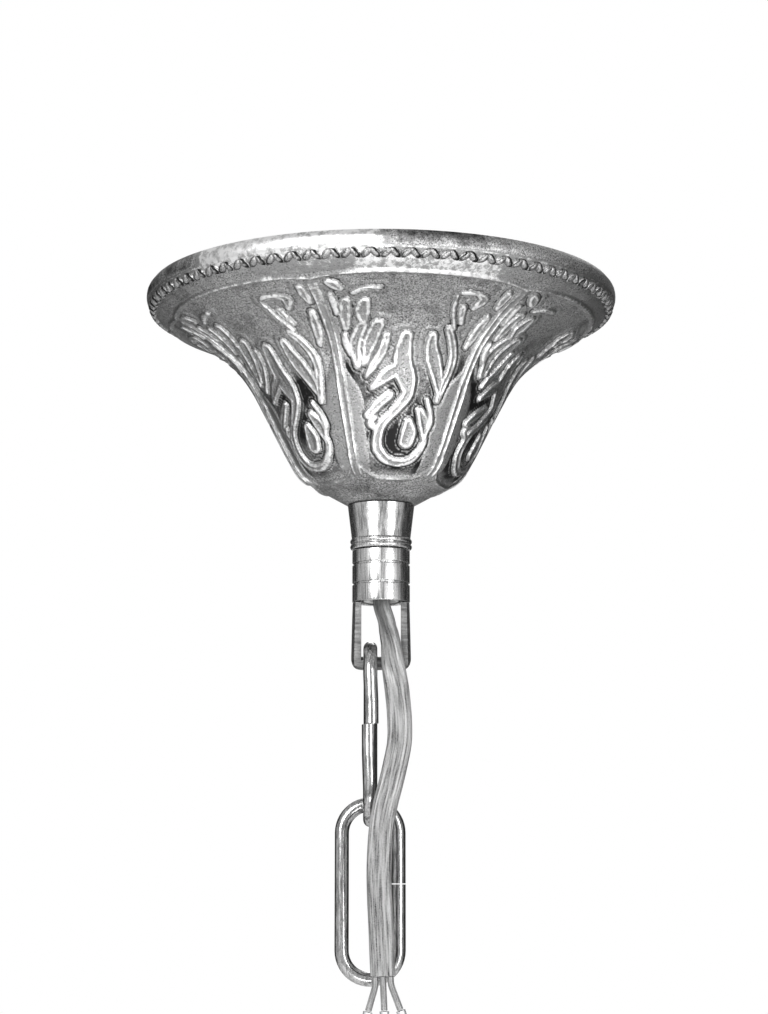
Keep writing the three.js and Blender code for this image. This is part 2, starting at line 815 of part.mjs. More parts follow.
// Half the flat section, from one round edge to the other: waisted between the cores, or plain.
function cableSection(waisted) {
  const w = cableWidth / 2;
  const h = cableThickness / 2;
  const edge = [w - h * 0.4, h * 0.85];
  const half = waisted
    ? [[w, 0], edge, [coreSpacing / 2, h * 0.72], [0, h], [-coreSpacing / 2, h * 0.72]]
    : [[w, h * 0.4], [w - h * 0.7, h], [h * 0.7 - w, h], [-w, h * 0.4]];
  if (waisted) half.push([-edge[0], edge[1]]);
  return [...half, ...half.map(([x, y]) => [-x, -y])];
}

// The cable's route has stations. At each, the flat cable's width points along an azimuth from +X
// and an elevation, in degrees. The spare length is a coil that starts beside the terminal block,
// sinks under it and winds inwards, clockwise from above.
const radians = THREE.MathUtils.degToRad;
const coilStart = 140; // azimuth where the coil begins
const coilEnd = 159 - 2 * 360;
const coilSteps = Math.round((coilStart - coilEnd) / 15);
const sinkAngle = 85; // how much of the outer turn the cable takes to sink
const leadOut = 1.6; // how much further out it runs before it has sunk

function coilStation(step) {
  const wound = ((coilStart - coilEnd) * step) / coilSteps;
  const sunk = THREE.MathUtils.smootherstep(wound, 0, sinkAngle);
  const azimuth = coilStart - wound;
  const r = coilRadius - (coilPitch * wound) / 360 + leadOut * (1 - sunk);
  const z = poleDepth + (-coilDepth - poleDepth) * sunk;
  return [r * Math.cos(radians(azimuth)), r * Math.sin(radians(azimuth)), z, azimuth, -90 * sunk];
}

// The lead runs from the terminal block's back side to the coil.
const leadStations = [
  [-35, 16, poleDepth, 180, 0],
  [-34, 21.5, poleDepth, 160, 0],
];

// From the coil the cable climbs, bends over the bush and goes down through the nipple.
const riserStations = [
  [-28.3, 17.7, -15.1, 148, -90],
  [-24.3, 22.7, -14.3, 137, -90],
  [-19.5, 26.8, -12.8, 126, -90],
  [-14, 30, -10.7, 115, -90],
  [-8.7, 31.3, -8.7, 92, -85],
  [-3.4, 30.4, -6.8, 70, -72],
  [1.2, 27.6, -5.2, 47, -52],
  [4.4, 23.2, -4.2, 25, -30],
  [5.6, 17.9, -3.7, 2, -10],
  [4.8, 12.6, -3.6, -21, 0],
  [2.9, 7.8, -4.6, -21, 0],
  [1.4, 3.7, -7.5, -21, 0],
  [0.4, 1, -11.9, -21, 0],
  [0, 0, -17.1, -21, 0],
  [0, 0, -28, -24, 0],
  [0, 0, -40, -30, 0],
  [0, 0, -55, -40, 0],
  [0, 0, -70, -50, 0],
  [0, 0, -84, -60, 0],
];

// Below the barrel it slips past the yoke's bar on the front side and runs beside the chain.
const tailStations = [
  [0.1, 0, -87.6, -61, 0],
  [1.3, -1.3, -92, -64, 0],
  [1.9, -3.2, -95.5, -60, 0],
  [2.5, -5, -98.5, -51, 0],
  [3.1, -6.6, -104, -32, 0],
  [4.3, -7.3, -112, 0, 0],
  [5, -8.3, -120.7, 0, 0],
  [4.9, -9.2, -126, 0, 0],
  [3.9, -10.2, -131.4, 0, 0],
  [2.6, -11.2, -137, 0, 0],
  [1.2, -11.7, -142.4, 0, 0],
  [0.2, -11.8, -148, 0, 0],
  [-0.5, -10.7, -160, 0, 0],
  [0, -9.2, -175, 0, 0],
  [0.5, -8, -187, 0, 0],
];

const coilStations = Array.from({ length: coilSteps + 1 }, (_, step) => coilStation(step));
const stations = [
  ...leadStations,
  ...coilStations,
  ...riserStations.map(([x, y, z, azimuth, elevation]) => [x, y, z, azimuth - 720, elevation]),
  ...tailStations.map(([x, y, z, azimuth, elevation]) => [x, y, z, azimuth - 720, elevation]),
];
const route = new THREE.CatmullRomCurve3(stations.map(([x, y, z]) => new THREE.Vector3(x, y, z)));
const lastStation = stations.length - 1;
const riserStart = leadStations.length + coilSteps;
const tailStart = riserStart + riserStations.length;

function widthDirection(place) {
  const before = stations[Math.floor(place)];
  const after = stations[Math.min(Math.floor(place) + 1, lastStation)];
  const share = place - Math.floor(place);
  const azimuth = radians(THREE.MathUtils.lerp(before[3], after[3], share));
  const elevation = radians(THREE.MathUtils.lerp(before[4], after[4], share));
  return new THREE.Vector3(
    Math.cos(elevation) * Math.cos(azimuth),
    Math.cos(elevation) * Math.sin(azimuth),
    Math.sin(elevation),
  );
}

// The cable's centre, its direction, and the two directions of its section at a place, which
// counts in stations along the route.
function cableFrame(place) {
  const centre = route.getPoint(place / lastStation);
  const ahead = route.getTangent(place / lastStation);
  const across = widthDirection(place);
  across.addScaledVector(ahead, -across.dot(ahead)).normalize();
  const up = new THREE.Vector3().crossVectors(ahead, across);
  return { centre, ahead, across, up };
}

function stretch(from, to, stepsPerStation, waisted) {
  const section = cableSection(waisted);
  const steps = Math.round((to - from) * stepsPerStation);
  const rings = Array.from({ length: steps + 1 }, (_, i) => {
    const { centre, across, up } = cableFrame(from + ((to - from) * i) / steps);
    return sectionRing(centre, across, up, section);
  });
  return tubeThrough(rings);
}

// A place just past a station, so that two stretches of the cable don't touch.
function justPast(station) {
  const [a, b] = [station, station + 1].map((i) => new THREE.Vector3(...stations[i]));
  return station + clearance / a.distanceTo(b);
}

addPiece("cable_coil", stretch(0, riserStart, 1, false), clearSheath);
addPiece("cable_riser", stretch(justPast(riserStart), tailStart, 1, true), clearSheath);
addPiece("cable_tail", stretch(justPast(tailStart), lastStation, 2, true), clearSheath);

// The least gap between turns, measured on points of the route that lie half a turn or more apart.
function leastTurnGap() {
  const perStation = 12;
  const samples = route.getPoints(lastStation * perStation).slice(0, riserStart * perStation);
  const halfTurn = 12 * perStation;
  let least = Infinity;
  samples.forEach((point, i) => {
    for (const other of samples.slice(i + halfTurn)) {
      const across = Math.hypot(point.x - other.x, point.y - other.y);
      const overlapInHeight = Math.abs(point.z - other.z) < cableWidth / 2;
      if (overlapInHeight) least = Math.min(least, across - cableThickness);
    }
  });
  return least;
}
console.log(`Least gap between the coil's turns: ${leastTurnGap().toFixed(2)} mm`);

// A round wire through points, with a radius for each.
function wire(points, radii, sides = 8) {
  const curve = new THREE.CatmullRomCurve3(points);
  const section = roundSection(1, sides);
  const last = points.length - 1;
  const rings = points.map((_, i) => {
    const ahead = curve.getTangent(i / last);
    const across = new THREE.Vector3(0, 0, 1).cross(ahead);
    if (across.length() < 0.5) across.set(1, 0, 0);
    across.addScaledVector(ahead, -across.dot(ahead)).normalize();
    const up = new THREE.Vector3().crossVectors(ahead, across);
    const scaled = section.map(([x, y]) => [x * radii[i], y * radii[i]]);
    return sectionRing(points[i], across, up, scaled);
  });
  return tubeThrough(rings);
}

// Each upper core runs from its terminal insert to the sheath's end, and is bare in the insert.
const insertMouth = insertLength / 2 + clearance;
const supplyEnd = cableFrame(0);
poles.forEach((x, i) => {
  const offset = (i - (poleCount - 1) / 2) * coreSpacing;
  const sheathEnd = supplyEnd.centre
    .clone()
    .addScaledVector(supplyEnd.across, offset)
    .addScaledVector(supplyEnd.ahead, -clearance);
  const points = [
    new THREE.Vector3(x, clampScrewSpread - 2, poleDepth),
    new THREE.Vector3(x, insertMouth, poleDepth),
    new THREE.Vector3(x, insertMouth + 0.4, poleDepth),
    new THREE.Vector3(x, blockDepth / 2 + 1, poleDepth),
    sheathEnd.clone().addScaledVector(supplyEnd.ahead, -strippedLength),
    sheathEnd,
  ];
  const radii = [conductorRadius, conductorRadius, coreRadius, coreRadius, coreRadius, coreRadius];
  addPiece(`core_upper_${i + 1}`, wire(points, radii), coreSheath);
});

// The lower cores fan out of the sheath, each with a crimped ferrule on its end.
const tailEnd = cableFrame(lastStation);
for (let i = 0; i < poleCount; i += 1) {
  const side = i - (poleCount - 1) / 2;
  const place = (drop, spread) =>
    tailEnd.centre
      .clone()
      .addScaledVector(tailEnd.across, side * (coreSpacing + spread))
      .addScaledVector(tailEnd.ahead, drop);
  const core = [
    place(clearance, 0),
    place(fanLength * 0.28, fanSpread * 0.05),
    place(fanLength * 0.67, fanSpread * 0.55),
    place(fanLength, fanSpread),
  ];
  addPiece(`core_lower_${i + 1}`, wire(core, core.map(() => coreRadius)), coreSheath);
  const top = fanLength + clearance;
  const parted = (share) => place(top + ferruleLength * share, fanSpread * (1.05 + 0.77 * share));
  const ferrule = [parted(0), parted(0.28), parted(0.282), parted(1)];
  const radii = [coreRadius + 0.4, coreRadius + 0.4, ferruleRadius, ferruleRadius];
  addPiece(`ferrule_${i + 1}`, wire(ferrule, radii), zincSteel);
}

export default part;
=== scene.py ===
# %% [markdown]
# # The ceiling end of a chandelier
#
# The object is what a chandelier hangs on: a pressed canopy that hides the wiring at the ceiling, a
# screw collar that holds it up, a cast yoke, two chain links and a clear flat cable. Its bones are
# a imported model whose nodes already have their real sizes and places. This notebook gives each
# piece its fine surface and its finish, and leaves every place as the frame has it.

import json
import math
from contextlib import contextmanager

import bmesh
import bpy
import numpy as np
from mathutils import Vector
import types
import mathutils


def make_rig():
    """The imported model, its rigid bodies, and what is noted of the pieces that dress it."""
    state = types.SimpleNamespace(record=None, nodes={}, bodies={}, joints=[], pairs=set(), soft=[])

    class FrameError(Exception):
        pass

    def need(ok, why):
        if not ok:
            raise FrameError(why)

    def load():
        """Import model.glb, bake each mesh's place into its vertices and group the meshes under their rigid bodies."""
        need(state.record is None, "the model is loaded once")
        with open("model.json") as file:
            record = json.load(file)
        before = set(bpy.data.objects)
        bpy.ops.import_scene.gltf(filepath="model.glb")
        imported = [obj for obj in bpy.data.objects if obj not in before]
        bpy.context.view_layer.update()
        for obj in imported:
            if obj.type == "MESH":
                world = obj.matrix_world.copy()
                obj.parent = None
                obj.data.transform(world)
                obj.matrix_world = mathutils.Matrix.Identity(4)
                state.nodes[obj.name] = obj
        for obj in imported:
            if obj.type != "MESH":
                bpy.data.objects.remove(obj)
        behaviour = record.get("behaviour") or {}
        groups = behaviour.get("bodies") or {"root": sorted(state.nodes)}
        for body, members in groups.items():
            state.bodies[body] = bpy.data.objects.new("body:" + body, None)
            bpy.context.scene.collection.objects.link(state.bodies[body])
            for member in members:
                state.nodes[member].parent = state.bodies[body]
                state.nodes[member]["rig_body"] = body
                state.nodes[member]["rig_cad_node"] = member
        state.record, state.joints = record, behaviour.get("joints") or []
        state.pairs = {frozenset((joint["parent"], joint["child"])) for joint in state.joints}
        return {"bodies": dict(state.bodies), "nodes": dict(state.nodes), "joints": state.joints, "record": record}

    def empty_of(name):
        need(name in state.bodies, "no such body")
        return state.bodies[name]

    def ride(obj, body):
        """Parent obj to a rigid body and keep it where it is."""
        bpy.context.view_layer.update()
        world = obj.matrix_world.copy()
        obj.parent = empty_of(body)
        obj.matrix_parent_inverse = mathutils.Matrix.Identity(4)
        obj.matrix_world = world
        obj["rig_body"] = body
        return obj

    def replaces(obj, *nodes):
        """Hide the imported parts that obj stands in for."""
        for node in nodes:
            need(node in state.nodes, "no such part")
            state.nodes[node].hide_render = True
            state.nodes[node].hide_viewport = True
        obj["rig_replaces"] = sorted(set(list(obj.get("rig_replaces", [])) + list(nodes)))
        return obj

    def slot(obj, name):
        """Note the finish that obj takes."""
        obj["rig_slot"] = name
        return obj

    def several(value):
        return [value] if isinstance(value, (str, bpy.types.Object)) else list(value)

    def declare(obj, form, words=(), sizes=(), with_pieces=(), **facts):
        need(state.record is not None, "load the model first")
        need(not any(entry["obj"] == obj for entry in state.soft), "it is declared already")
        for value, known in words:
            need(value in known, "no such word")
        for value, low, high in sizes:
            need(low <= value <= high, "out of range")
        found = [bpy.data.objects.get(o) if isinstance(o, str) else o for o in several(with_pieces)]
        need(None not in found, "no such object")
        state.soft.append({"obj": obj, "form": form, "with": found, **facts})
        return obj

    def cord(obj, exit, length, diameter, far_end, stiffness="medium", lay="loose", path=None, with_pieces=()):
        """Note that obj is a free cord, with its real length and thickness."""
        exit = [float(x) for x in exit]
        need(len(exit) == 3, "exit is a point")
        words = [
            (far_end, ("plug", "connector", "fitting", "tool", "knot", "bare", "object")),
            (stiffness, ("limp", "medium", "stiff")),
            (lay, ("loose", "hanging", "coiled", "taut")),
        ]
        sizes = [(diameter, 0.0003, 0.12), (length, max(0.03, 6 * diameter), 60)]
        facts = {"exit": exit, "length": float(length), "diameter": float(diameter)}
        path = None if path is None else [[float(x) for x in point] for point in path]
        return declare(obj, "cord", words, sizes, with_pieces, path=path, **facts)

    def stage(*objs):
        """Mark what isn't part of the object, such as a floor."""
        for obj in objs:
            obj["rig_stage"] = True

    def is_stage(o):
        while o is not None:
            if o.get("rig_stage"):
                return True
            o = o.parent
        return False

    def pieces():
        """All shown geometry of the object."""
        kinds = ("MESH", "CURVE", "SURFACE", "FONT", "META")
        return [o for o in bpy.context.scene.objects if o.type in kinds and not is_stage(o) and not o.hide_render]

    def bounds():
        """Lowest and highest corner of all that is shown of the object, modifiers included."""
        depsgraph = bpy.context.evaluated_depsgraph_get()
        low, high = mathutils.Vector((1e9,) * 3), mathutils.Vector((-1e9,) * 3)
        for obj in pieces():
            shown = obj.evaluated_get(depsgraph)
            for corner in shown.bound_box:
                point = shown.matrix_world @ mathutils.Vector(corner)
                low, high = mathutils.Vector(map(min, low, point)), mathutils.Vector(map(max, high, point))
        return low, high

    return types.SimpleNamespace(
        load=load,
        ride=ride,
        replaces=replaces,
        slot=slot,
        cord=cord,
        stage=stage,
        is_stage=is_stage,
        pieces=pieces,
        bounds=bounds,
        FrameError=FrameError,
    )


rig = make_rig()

MM = 0.001
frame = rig.load()
nodes = frame["nodes"]
cad_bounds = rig.bounds()
print("loaded", len(nodes), "nodes on", len(frame["bodies"]), "bodies")

# %% [markdown]
# ## The camera
#
# The picture looks up a little at the canopy from not quite a metre away, so the rim's ellipse
# opens downwards. Its focal length is known in pixels, and a lens in millimetres follows from it:
# Blender spreads the sensor's 36 mm over the longer side of the picture, which here is its height.

# %% Place the camera
PICTURE_HEIGHT = 1014
FOCAL_PIXELS = 2440
CAMERA_PLACE = (0.8 * MM, -660 * MM, -174.2 * MM)
CAMERA_PITCH = math.radians(9.745)


def add_object(name, data):
    """An object in the scene for a mesh, a lamp or a camera."""
    thing = bpy.data.objects.new(name, data)
    bpy.context.scene.collection.objects.link(thing)
    return thing


camera = add_object("camera", bpy.data.cameras.new("camera"))
camera.location = CAMERA_PLACE
camera.rotation_euler = (math.pi / 2 + CAMERA_PITCH, 0, 0)
camera.data.lens = FOCAL_PIXELS / PICTURE_HEIGHT * camera.data.sensor_width
bpy.context.scene.camera = camera
print("lens", round(camera.data.lens, 1), "mm")

# %% [markdown]
# ## Shader maths as plain expressions
#
# A finish is easier to read as `0.4 + 0.2 * noise` than as a chain of Math nodes. The class below
# wraps one socket and overloads the operators, so an expression adds the nodes by itself. Any other
# node, in a shader or in a geometry tree, comes from one function that takes its type, the values
# or links of its sockets, and its settings, which are set first.

# %% Wrap a socket and a node tree
def feed(tree, socket, value):
    """Links a socket to a value that varies, or gives it a constant."""
    value = getattr(value, "socket", value)
    if isinstance(value, bpy.types.NodeSocket):
        tree.links.new(value, socket)
    else:
        socket.default_value = (*value, 1) if socket.type == "RGBA" else value


def add_node(tree, kind, inputs=None, output=0, **settings):
    """Adds a node and gives one of its outputs."""
    node = tree.nodes.new(kind)
    for name, value in settings.items():
        setattr(node, name, value)
    for name, value in (inputs or {}).items():
        feed(tree, node.inputs[name], value)
    return node.outputs[output]


class Value:
    """A socket that takes part in Python expressions."""

    def __init__(self, tree, socket):
        self.tree, self.socket = tree, socket

    def maths(self, operation, *others):
        inputs = dict(enumerate((self, *others)))
        return Value(self.tree, add_node(self.tree, "ShaderNodeMath", inputs, operation=operation))

    def __add__(self, other):
        return self.maths("ADD", other)

    __radd__ = __add__

    def __mul__(self, other):
        return self.maths("MULTIPLY", other)

    __rmul__ = __mul__

    def __sub__(self, other):
        return self.maths("SUBTRACT", other)

    def __rsub__(self, other):
        return (self * -1) + other

    def __truediv__(self, other):
        return self.maths("DIVIDE", other)

    def clamped(self):
        held = self.maths("ADD", 0)
        held.socket.node.use_clamp = True
        return held

    def between(self, low, high):
        """0 below low, 1 above high, and straight between them."""
        return ((self - low) / (high - low)).clamped()


class Finish:
    """A material with one Principled shader, and the nodes that feed it."""

    def __init__(self, name, **constants):
        self.material = bpy.data.materials.new(name)
        self.material.use_nodes = True
        self.tree = self.material.node_tree
        self.shader = self.tree.nodes["Principled BSDF"]
        for words, value in constants.items():
            self.set(words.replace("_", " ").title().replace("Ior", "IOR"), value)

    def set(self, name, value):
        feed(self.tree, self.shader.inputs[name], value)

    def add(self, kind, inputs=None, output=0, **settings):
        return Value(self.tree, add_node(self.tree, kind, inputs, output, **settings))

    def noise(self, size, detail=3, stretch=(1, 1, 1), roughness=0.5, where=None):
        """Noise from 0 to 1 in patches of about size millimetres, stretched along each axis."""
        if where is None:
            where = self.place(stretch)
        inputs = {"Vector": where, "Scale": 1 / size, "Detail": detail, "Roughness": roughness}
        return self.add("ShaderNodeTexNoise", inputs)

    def place(self, stretch=(1, 1, 1)):
        """Where a point lies on its piece, in millimetres."""
        where = self.add("ShaderNodeTexCoord", output="Object")
        scale = tuple(share / MM for share in stretch)
        return self.add("ShaderNodeMapping", {"Vector": where, "Scale": scale})

    def shade(self, share, dark, light):
        """A colour between two, by a value from 0 to 1."""
        return self.add("ShaderNodeMix", {0: share, 6: dark, 7: light}, output=2, data_type="RGBA")

    def bump(self, height, depth):
        """A normal from a height of 0 to 1 that stands for depth millimetres."""
        inputs = {"Height": height, "Distance": depth * MM, "Strength": 1}
        self.set("Normal", self.add("ShaderNodeBump", inputs))

    def painted(self, share, dark, light, roughness):
        """The material, with a colour between two and a roughness."""
        self.set("Base Color", self.shade(share, dark, light))
        self.set("Roughness", roughness)
        return self.material


def grey(value):
    return (value, value, value)


# %% [markdown]
# ## The metals
#
# The metal on show is chrome plate. A perfect mirror looks like a hole in the picture, because real
# plate has a little haze and fine marks from its polishing. So noise that is stretched along the
# piece makes streaks in its colour and its roughness, and finer noise adds specks; the streaks in
# the colour are also painted reflections. The canopy's colour carries painted light: painted shade
# in the grooves, grainy pressed fields, and painted highlights where the relief stands out. A
# picture could be painted for that. Here the mesh carries it as an attribute instead, so the
# painted highlights stay on the relief when its shape changes.

# %% Make the plated finishes
def plated(name, tone, haze, along):
    """Chrome plate: haze is its roughness, and fine streaks follow the way it was polished. In the
    colour the streaks are also painted reflections.
    """
    finish = Finish(name, metallic=1)
    streaks = finish.noise(0.5, detail=4, stretch=along, roughness=0.7)
    wiping = finish.noise(5, detail=4)
    specks = finish.noise(0.25, detail=2)
    light_and_wear = streaks * 0.7 + wiping * 0.1 + specks * 0.2
    finish.bump(streaks, 0.01)
    # The streaks in the colour are partly polish marks and partly painted reflections.
    share = light_and_wear.between(0.4, 0.57)
    return finish.painted(share, grey(tone * 0.35), grey(tone), haze * (0.6 + 0.8 * light_and_wear))


def embossed_plate():
    """The mesh gives each point its painted light: painted shade below 0 in the grooves, 0 in the
    fields, and a painted highlight at 1 on top.
    """
    finish = Finish("embossed_plate", metallic=1)
    painted_light = finish.add("ShaderNodeAttribute", output="Fac", attribute_name="painted_light")
    patch = finish.noise(8, detail=5, roughness=0.65)
    cloud = finish.noise(1.6, detail=5, roughness=0.6)
    grain = finish.noise(0.45, detail=3, roughness=0.9)
    # The attribute carries painted light: painted shade in the grooves, painted highlights on the relief, the ribs and
    # the rim. Noise mottles it.
    light_and_wear = painted_light + (patch - 0.5) * 0.8 + (cloud - 0.5) * 1.2 * painted_light.between(0, 0.4)
    light_and_grain = light_and_wear + (grain - 0.5) * 1.1
    field = finish.shade(grain.between(0.38, 0.64), grey(0.05), grey(0.72))
    # Where the value falls below 0 the colour goes near black: painted shade in the grooves.
    colour = finish.shade((light_and_wear - 0.1 * grain).between(-0.3, -0.05), grey(0.02), field)
    colour = finish.shade(light_and_grain.between(0.2, 0.5), colour, grey(0.34))
    # The colour at the top of the scale is a painted highlight.
    bright = finish.shade(cloud.between(0.4, 0.55), grey(0.6), grey(0.95))
    finish.bump(grain, 0.08)
    roughness = 0.42 - 0.18 * light_and_grain.between(0, 0.9) + 0.1 * grain
    return finish.painted(light_and_grain.between(0.65, 0.9), colour, bright, roughness)


canopy_plate = embossed_plate()
collar_plate = plated("collar_plate", 0.7, 0.26, along=(1, 1, 0.03))
chain_plate = plated("chain_plate", 0.6, 0.2, along=(1, 1, 0.12))

# %% [markdown]
# The yoke is cast, so its skin is grainy under the plate. The hidden hardware is zinc-plated, with
# a faint spangle of crystals, and the terminal parts are brass.

# %% Make the cast, zinc and brass finishes
def cast_skin():
    """Coarse file marks run across the yoke's legs, over fine pits."""
    finish = Finish("cast_skin", metallic=1)
    pits = finish.noise(0.35, detail=4, roughness=0.7)
    files = finish.noise(1.1, detail=4, stretch=(0.25, 1, 1.6), roughness=0.6)
    finish.bump(files * 0.5 + pits * 0.5, 0.12)
    share = (files * 0.65 + pits * 0.35).between(0.38, 0.62)
    return finish.painted(share, grey(0.08), grey(0.24), 0.42 + 0.2 * pits)


def zinc_plate():
    finish = Finish("zinc_plate", metallic=1)
    where = {"Vector": finish.place(), "Scale": 0.6}
    crystals = finish.add("ShaderNodeTexVoronoi", where, output="Distance")
    scratches = finish.noise(0.4, detail=2, stretch=(1, 8, 1))
    finish.bump(scratches, 0.01)
    share = (crystals * 0.6 + scratches * 0.5).clamped()
    roughness = 0.42 + 0.2 * crystals + 0.12 * scratches
    return finish.painted(share, (0.5, 0.51, 0.53), grey(0.7), roughness)


def turned_brass():
    finish = Finish("turned_brass", metallic=1)
    tarnish = finish.noise(2.5, detail=4).between(0.35, 0.75)
    finish.bump(finish.noise(0.3), 0.008)
    return finish.painted(tarnish, (0.66, 0.51, 0.25), (0.45, 0.33, 0.16), 0.22 + 0.2 * tarnish)


cast_metal = cast_skin()
zinc_steel = zinc_plate()
brass = turned_brass()

# %% [markdown]
# ## The plastics
#
# The terminal block and the two bushes are moulded in white. The cable is clear: what shows is the
# tinned strand bundles inside, bent by the sheath. So the sheath is a clear solid with real strand
# bundles in it, and not a grey tube.

# %% Make the plastic and conductor finishes
def moulded(name, light, dark):
    finish = Finish(name, specular_ior_level=0.45)
    spots = finish.noise(1.2, detail=3).between(0.3, 0.7)
    finish.bump(finish.noise(0.3, detail=2), 0.02)
    return finish.painted(spots, dark, light, 0.38 + 0.14 * spots)


def clear_sheath():
    """Clear but smoky. Its streaks follow the cord: the mesh says how far across and along it
    each point lies, and the mapping makes each streak twenty times as long as it is wide."""
    finish = Finish("clear_sheath", transmission_weight=0.4, ior=1.46)
    where = finish.add("ShaderNodeAttribute", output="Vector", attribute_name="cord_place")
    where = finish.add("ShaderNodeMapping", {"Vector": where, "Scale": (1, 0.05, 1)})
    streaks = finish.noise(0.45, detail=4, where=where)
    specks = finish.noise(0.3, detail=2)
    haze = streaks * 0.75 + specks * 0.25
    finish.bump(streaks, 0.05)
    return finish.painted(haze.between(0.38, 0.6), grey(0.1), grey(0.5), 0.2 + 0.2 * haze)


def tinned_strands():
    finish = Finish("tinned_strands", metallic=1)
    tone = finish.noise(0.6, detail=3).between(0.35, 0.65)
    return finish.painted(tone, grey(0.06), grey(0.42), 0.3 + 0.1 * tone)


block_plastic = moulded("block_plastic", (0.86, 0.85, 0.81), (0.8, 0.79, 0.75))
bush_plastic = moulded("bush_plastic", (0.8, 0.8, 0.79), (0.74, 0.74, 0.73))
sheath_plastic = clear_sheath()
strand_metal = tinned_strands()
print(len(bpy.data.materials), "finishes")

# %% [markdown]
# ## From points to a piece
#
# Most pieces here are grids of points: rows along a route or a meridian, and columns round it. A
# few helpers join the rows with faces, turn the faces outwards, keep a value for each point, and
# give a finished mesh its body, its slot and the nodes that it stands for.

# %% Make meshes from rows of points
@contextmanager
def edited(piece):
    """Opens a piece's mesh for changes, and closes it with smooth faces that point outwards."""
    work = bmesh.new()
    work.from_mesh(piece.data)
    yield work
    bmesh.ops.recalc_face_normals(work, faces=work.faces)
    for face in work.faces:
        face.smooth = True
    work.to_mesh(piece.data)
    work.free()


def make_piece(name, points, faces, material, sharp=None):
    """A new mesh object. With sharp it is a solid: its faces are turned outwards, and its edges
    over so many degrees stay crisp."""
    mesh = bpy.data.meshes.new(name)
    mesh.from_pydata([tuple(point) for point in points], [], faces)
    mesh.materials.append(material)
    mesh.validate()
    mesh.shade_smooth()
    piece = add_object(name, mesh)
    if sharp:
        mesh.set_sharp_from_angle(angle=math.radians(sharp))
        with edited(piece):
            pass
    return piece


def grid_faces(rows, columns, first=0, closed=False):
    """Quads between neighbouring rings of points; closed joins the last ring to the first."""
    faces = []
    for i in range(rows if closed else rows - 1):
        low, high = first + i * columns, first + (i + 1) % rows * columns
        for j in range(columns):
            after = (j + 1) % columns
            faces.append((low + j, low + after, high + after, high + j))
    return faces


def tube_faces(rows, columns, first=0):
    """Rings of points joined into a tube with flat ends."""
    last = first + (rows - 1) * columns
    ends = [tuple(reversed(range(first, first + columns))), tuple(range(last, last + columns))]
    return grid_faces(rows, columns, first) + ends


def store(piece, name, values):
    """Keeps a number or a vector for each point of a piece, for its material to read."""
    values = np.asarray(values, np.float32)
    kind, field = ("FLOAT", "value") if values.ndim == 1 else ("FLOAT_VECTOR", "vector")
    piece.data.attributes.new(name, kind, "POINT").data.foreach_set(field, values.ravel())


def dress(piece, body, slot, *replaced):
    """The piece moves with a body, takes its finish from a slot, and stands for nodes."""
    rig.ride(piece, body)
    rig.slot(piece, slot)
    if replaced:
        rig.replaces(piece, *replaced)
    return piece


# %% [markdown]
# ## The cable's route
#
# The clear cable is flat, with three cores side by side. It starts at the terminal block, lies in a
# flat coil that keeps the spare length, climbs, bends over the bush and runs down inside the
# nipple. Below the barrel it slips past the yoke and hangs beside the chain. The stations are those
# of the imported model: a place, and the way the cable's width points, as an azimuth and an
# elevation.

# %% List the cable's stations
CABLE_WIDTH = 6.6
CABLE_THICKNESS = 2.6
CORE_SPACING = (CABLE_WIDTH - CABLE_THICKNESS) / 2
COIL_RADIUS = 39.6
COIL_PITCH = 3.1
COIL_HEIGHT = -15.2
POLE_HEIGHT = -6.1
TWO_TURNS = 2 * 360
COIL_START = 140
COIL_END = 159 - TWO_TURNS
COIL_STEPS = round((COIL_START - COIL_END) / 15)
SINK_ANGLE = 85
LEAD_OUT = 1.6

LEAD = [(-35, 16, POLE_HEIGHT, 180, 0), (-34, 21.5, POLE_HEIGHT, 160, 0)]
RISER = [
    (-28.3, 17.7, -15.1, 148, -90),
    (-24.3, 22.7, -14.3, 137, -90),
    (-19.5, 26.8, -12.8, 126, -90),
    (-14, 30, -10.7, 115, -90),
    (-8.7, 31.3, -8.7, 92, -85),
    (-3.4, 30.4, -6.8, 70, -72),
    (1.2, 27.6, -5.2, 47, -52),
    (4.4, 23.2, -4.2, 25, -30),
    (5.6, 17.9, -3.7, 2, -10),
    (4.8, 12.6, -3.6, -21, 0),
    (2.9, 7.8, -4.6, -21, 0),
    (1.4, 3.7, -7.5, -21, 0),
    (0.4, 1, -11.9, -21, 0),
    (0, 0, -17.1, -21, 0),
    (0, 0, -28, -24, 0),
    (0, 0, -40, -30, 0),
    (0, 0, -55, -40, 0),
    (0, 0, -70, -50, 0),
    (0, 0, -84, -60, 0),
]
TAIL = [
    (0.1, 0, -87.6, -61, 0),
    (1.3, -1.3, -92, -64, 0),
    (1.9, -3.2, -95.5, -60, 0),
    (2.5, -5, -98.5, -51, 0),
    (3.1, -6.6, -104, -32, 0),
    (4.3, -7.3, -112, 0, 0),
    (5, -8.3, -120.7, 0, 0),
    (4.9, -9.2, -126, 0, 0),
    (3.9, -10.2, -131.4, 0, 0),
    (2.6, -11.2, -137, 0, 0),
    (1.2, -11.7, -142.4, 0, 0),
    (0.2, -11.8, -148, 0, 0),
    (-0.5, -10.7, -160, 0, 0),
    (0, -9.2, -175, 0, 0),
    (0.5, -8, -187, 0, 0),
]


def smoother(share):
    """0 at 0 and 1 at 1, with no kink in the curve's slope or bend."""
    share = min(max(share, 0), 1)
    return share**3 * (share * (share * 6 - 15) + 10)


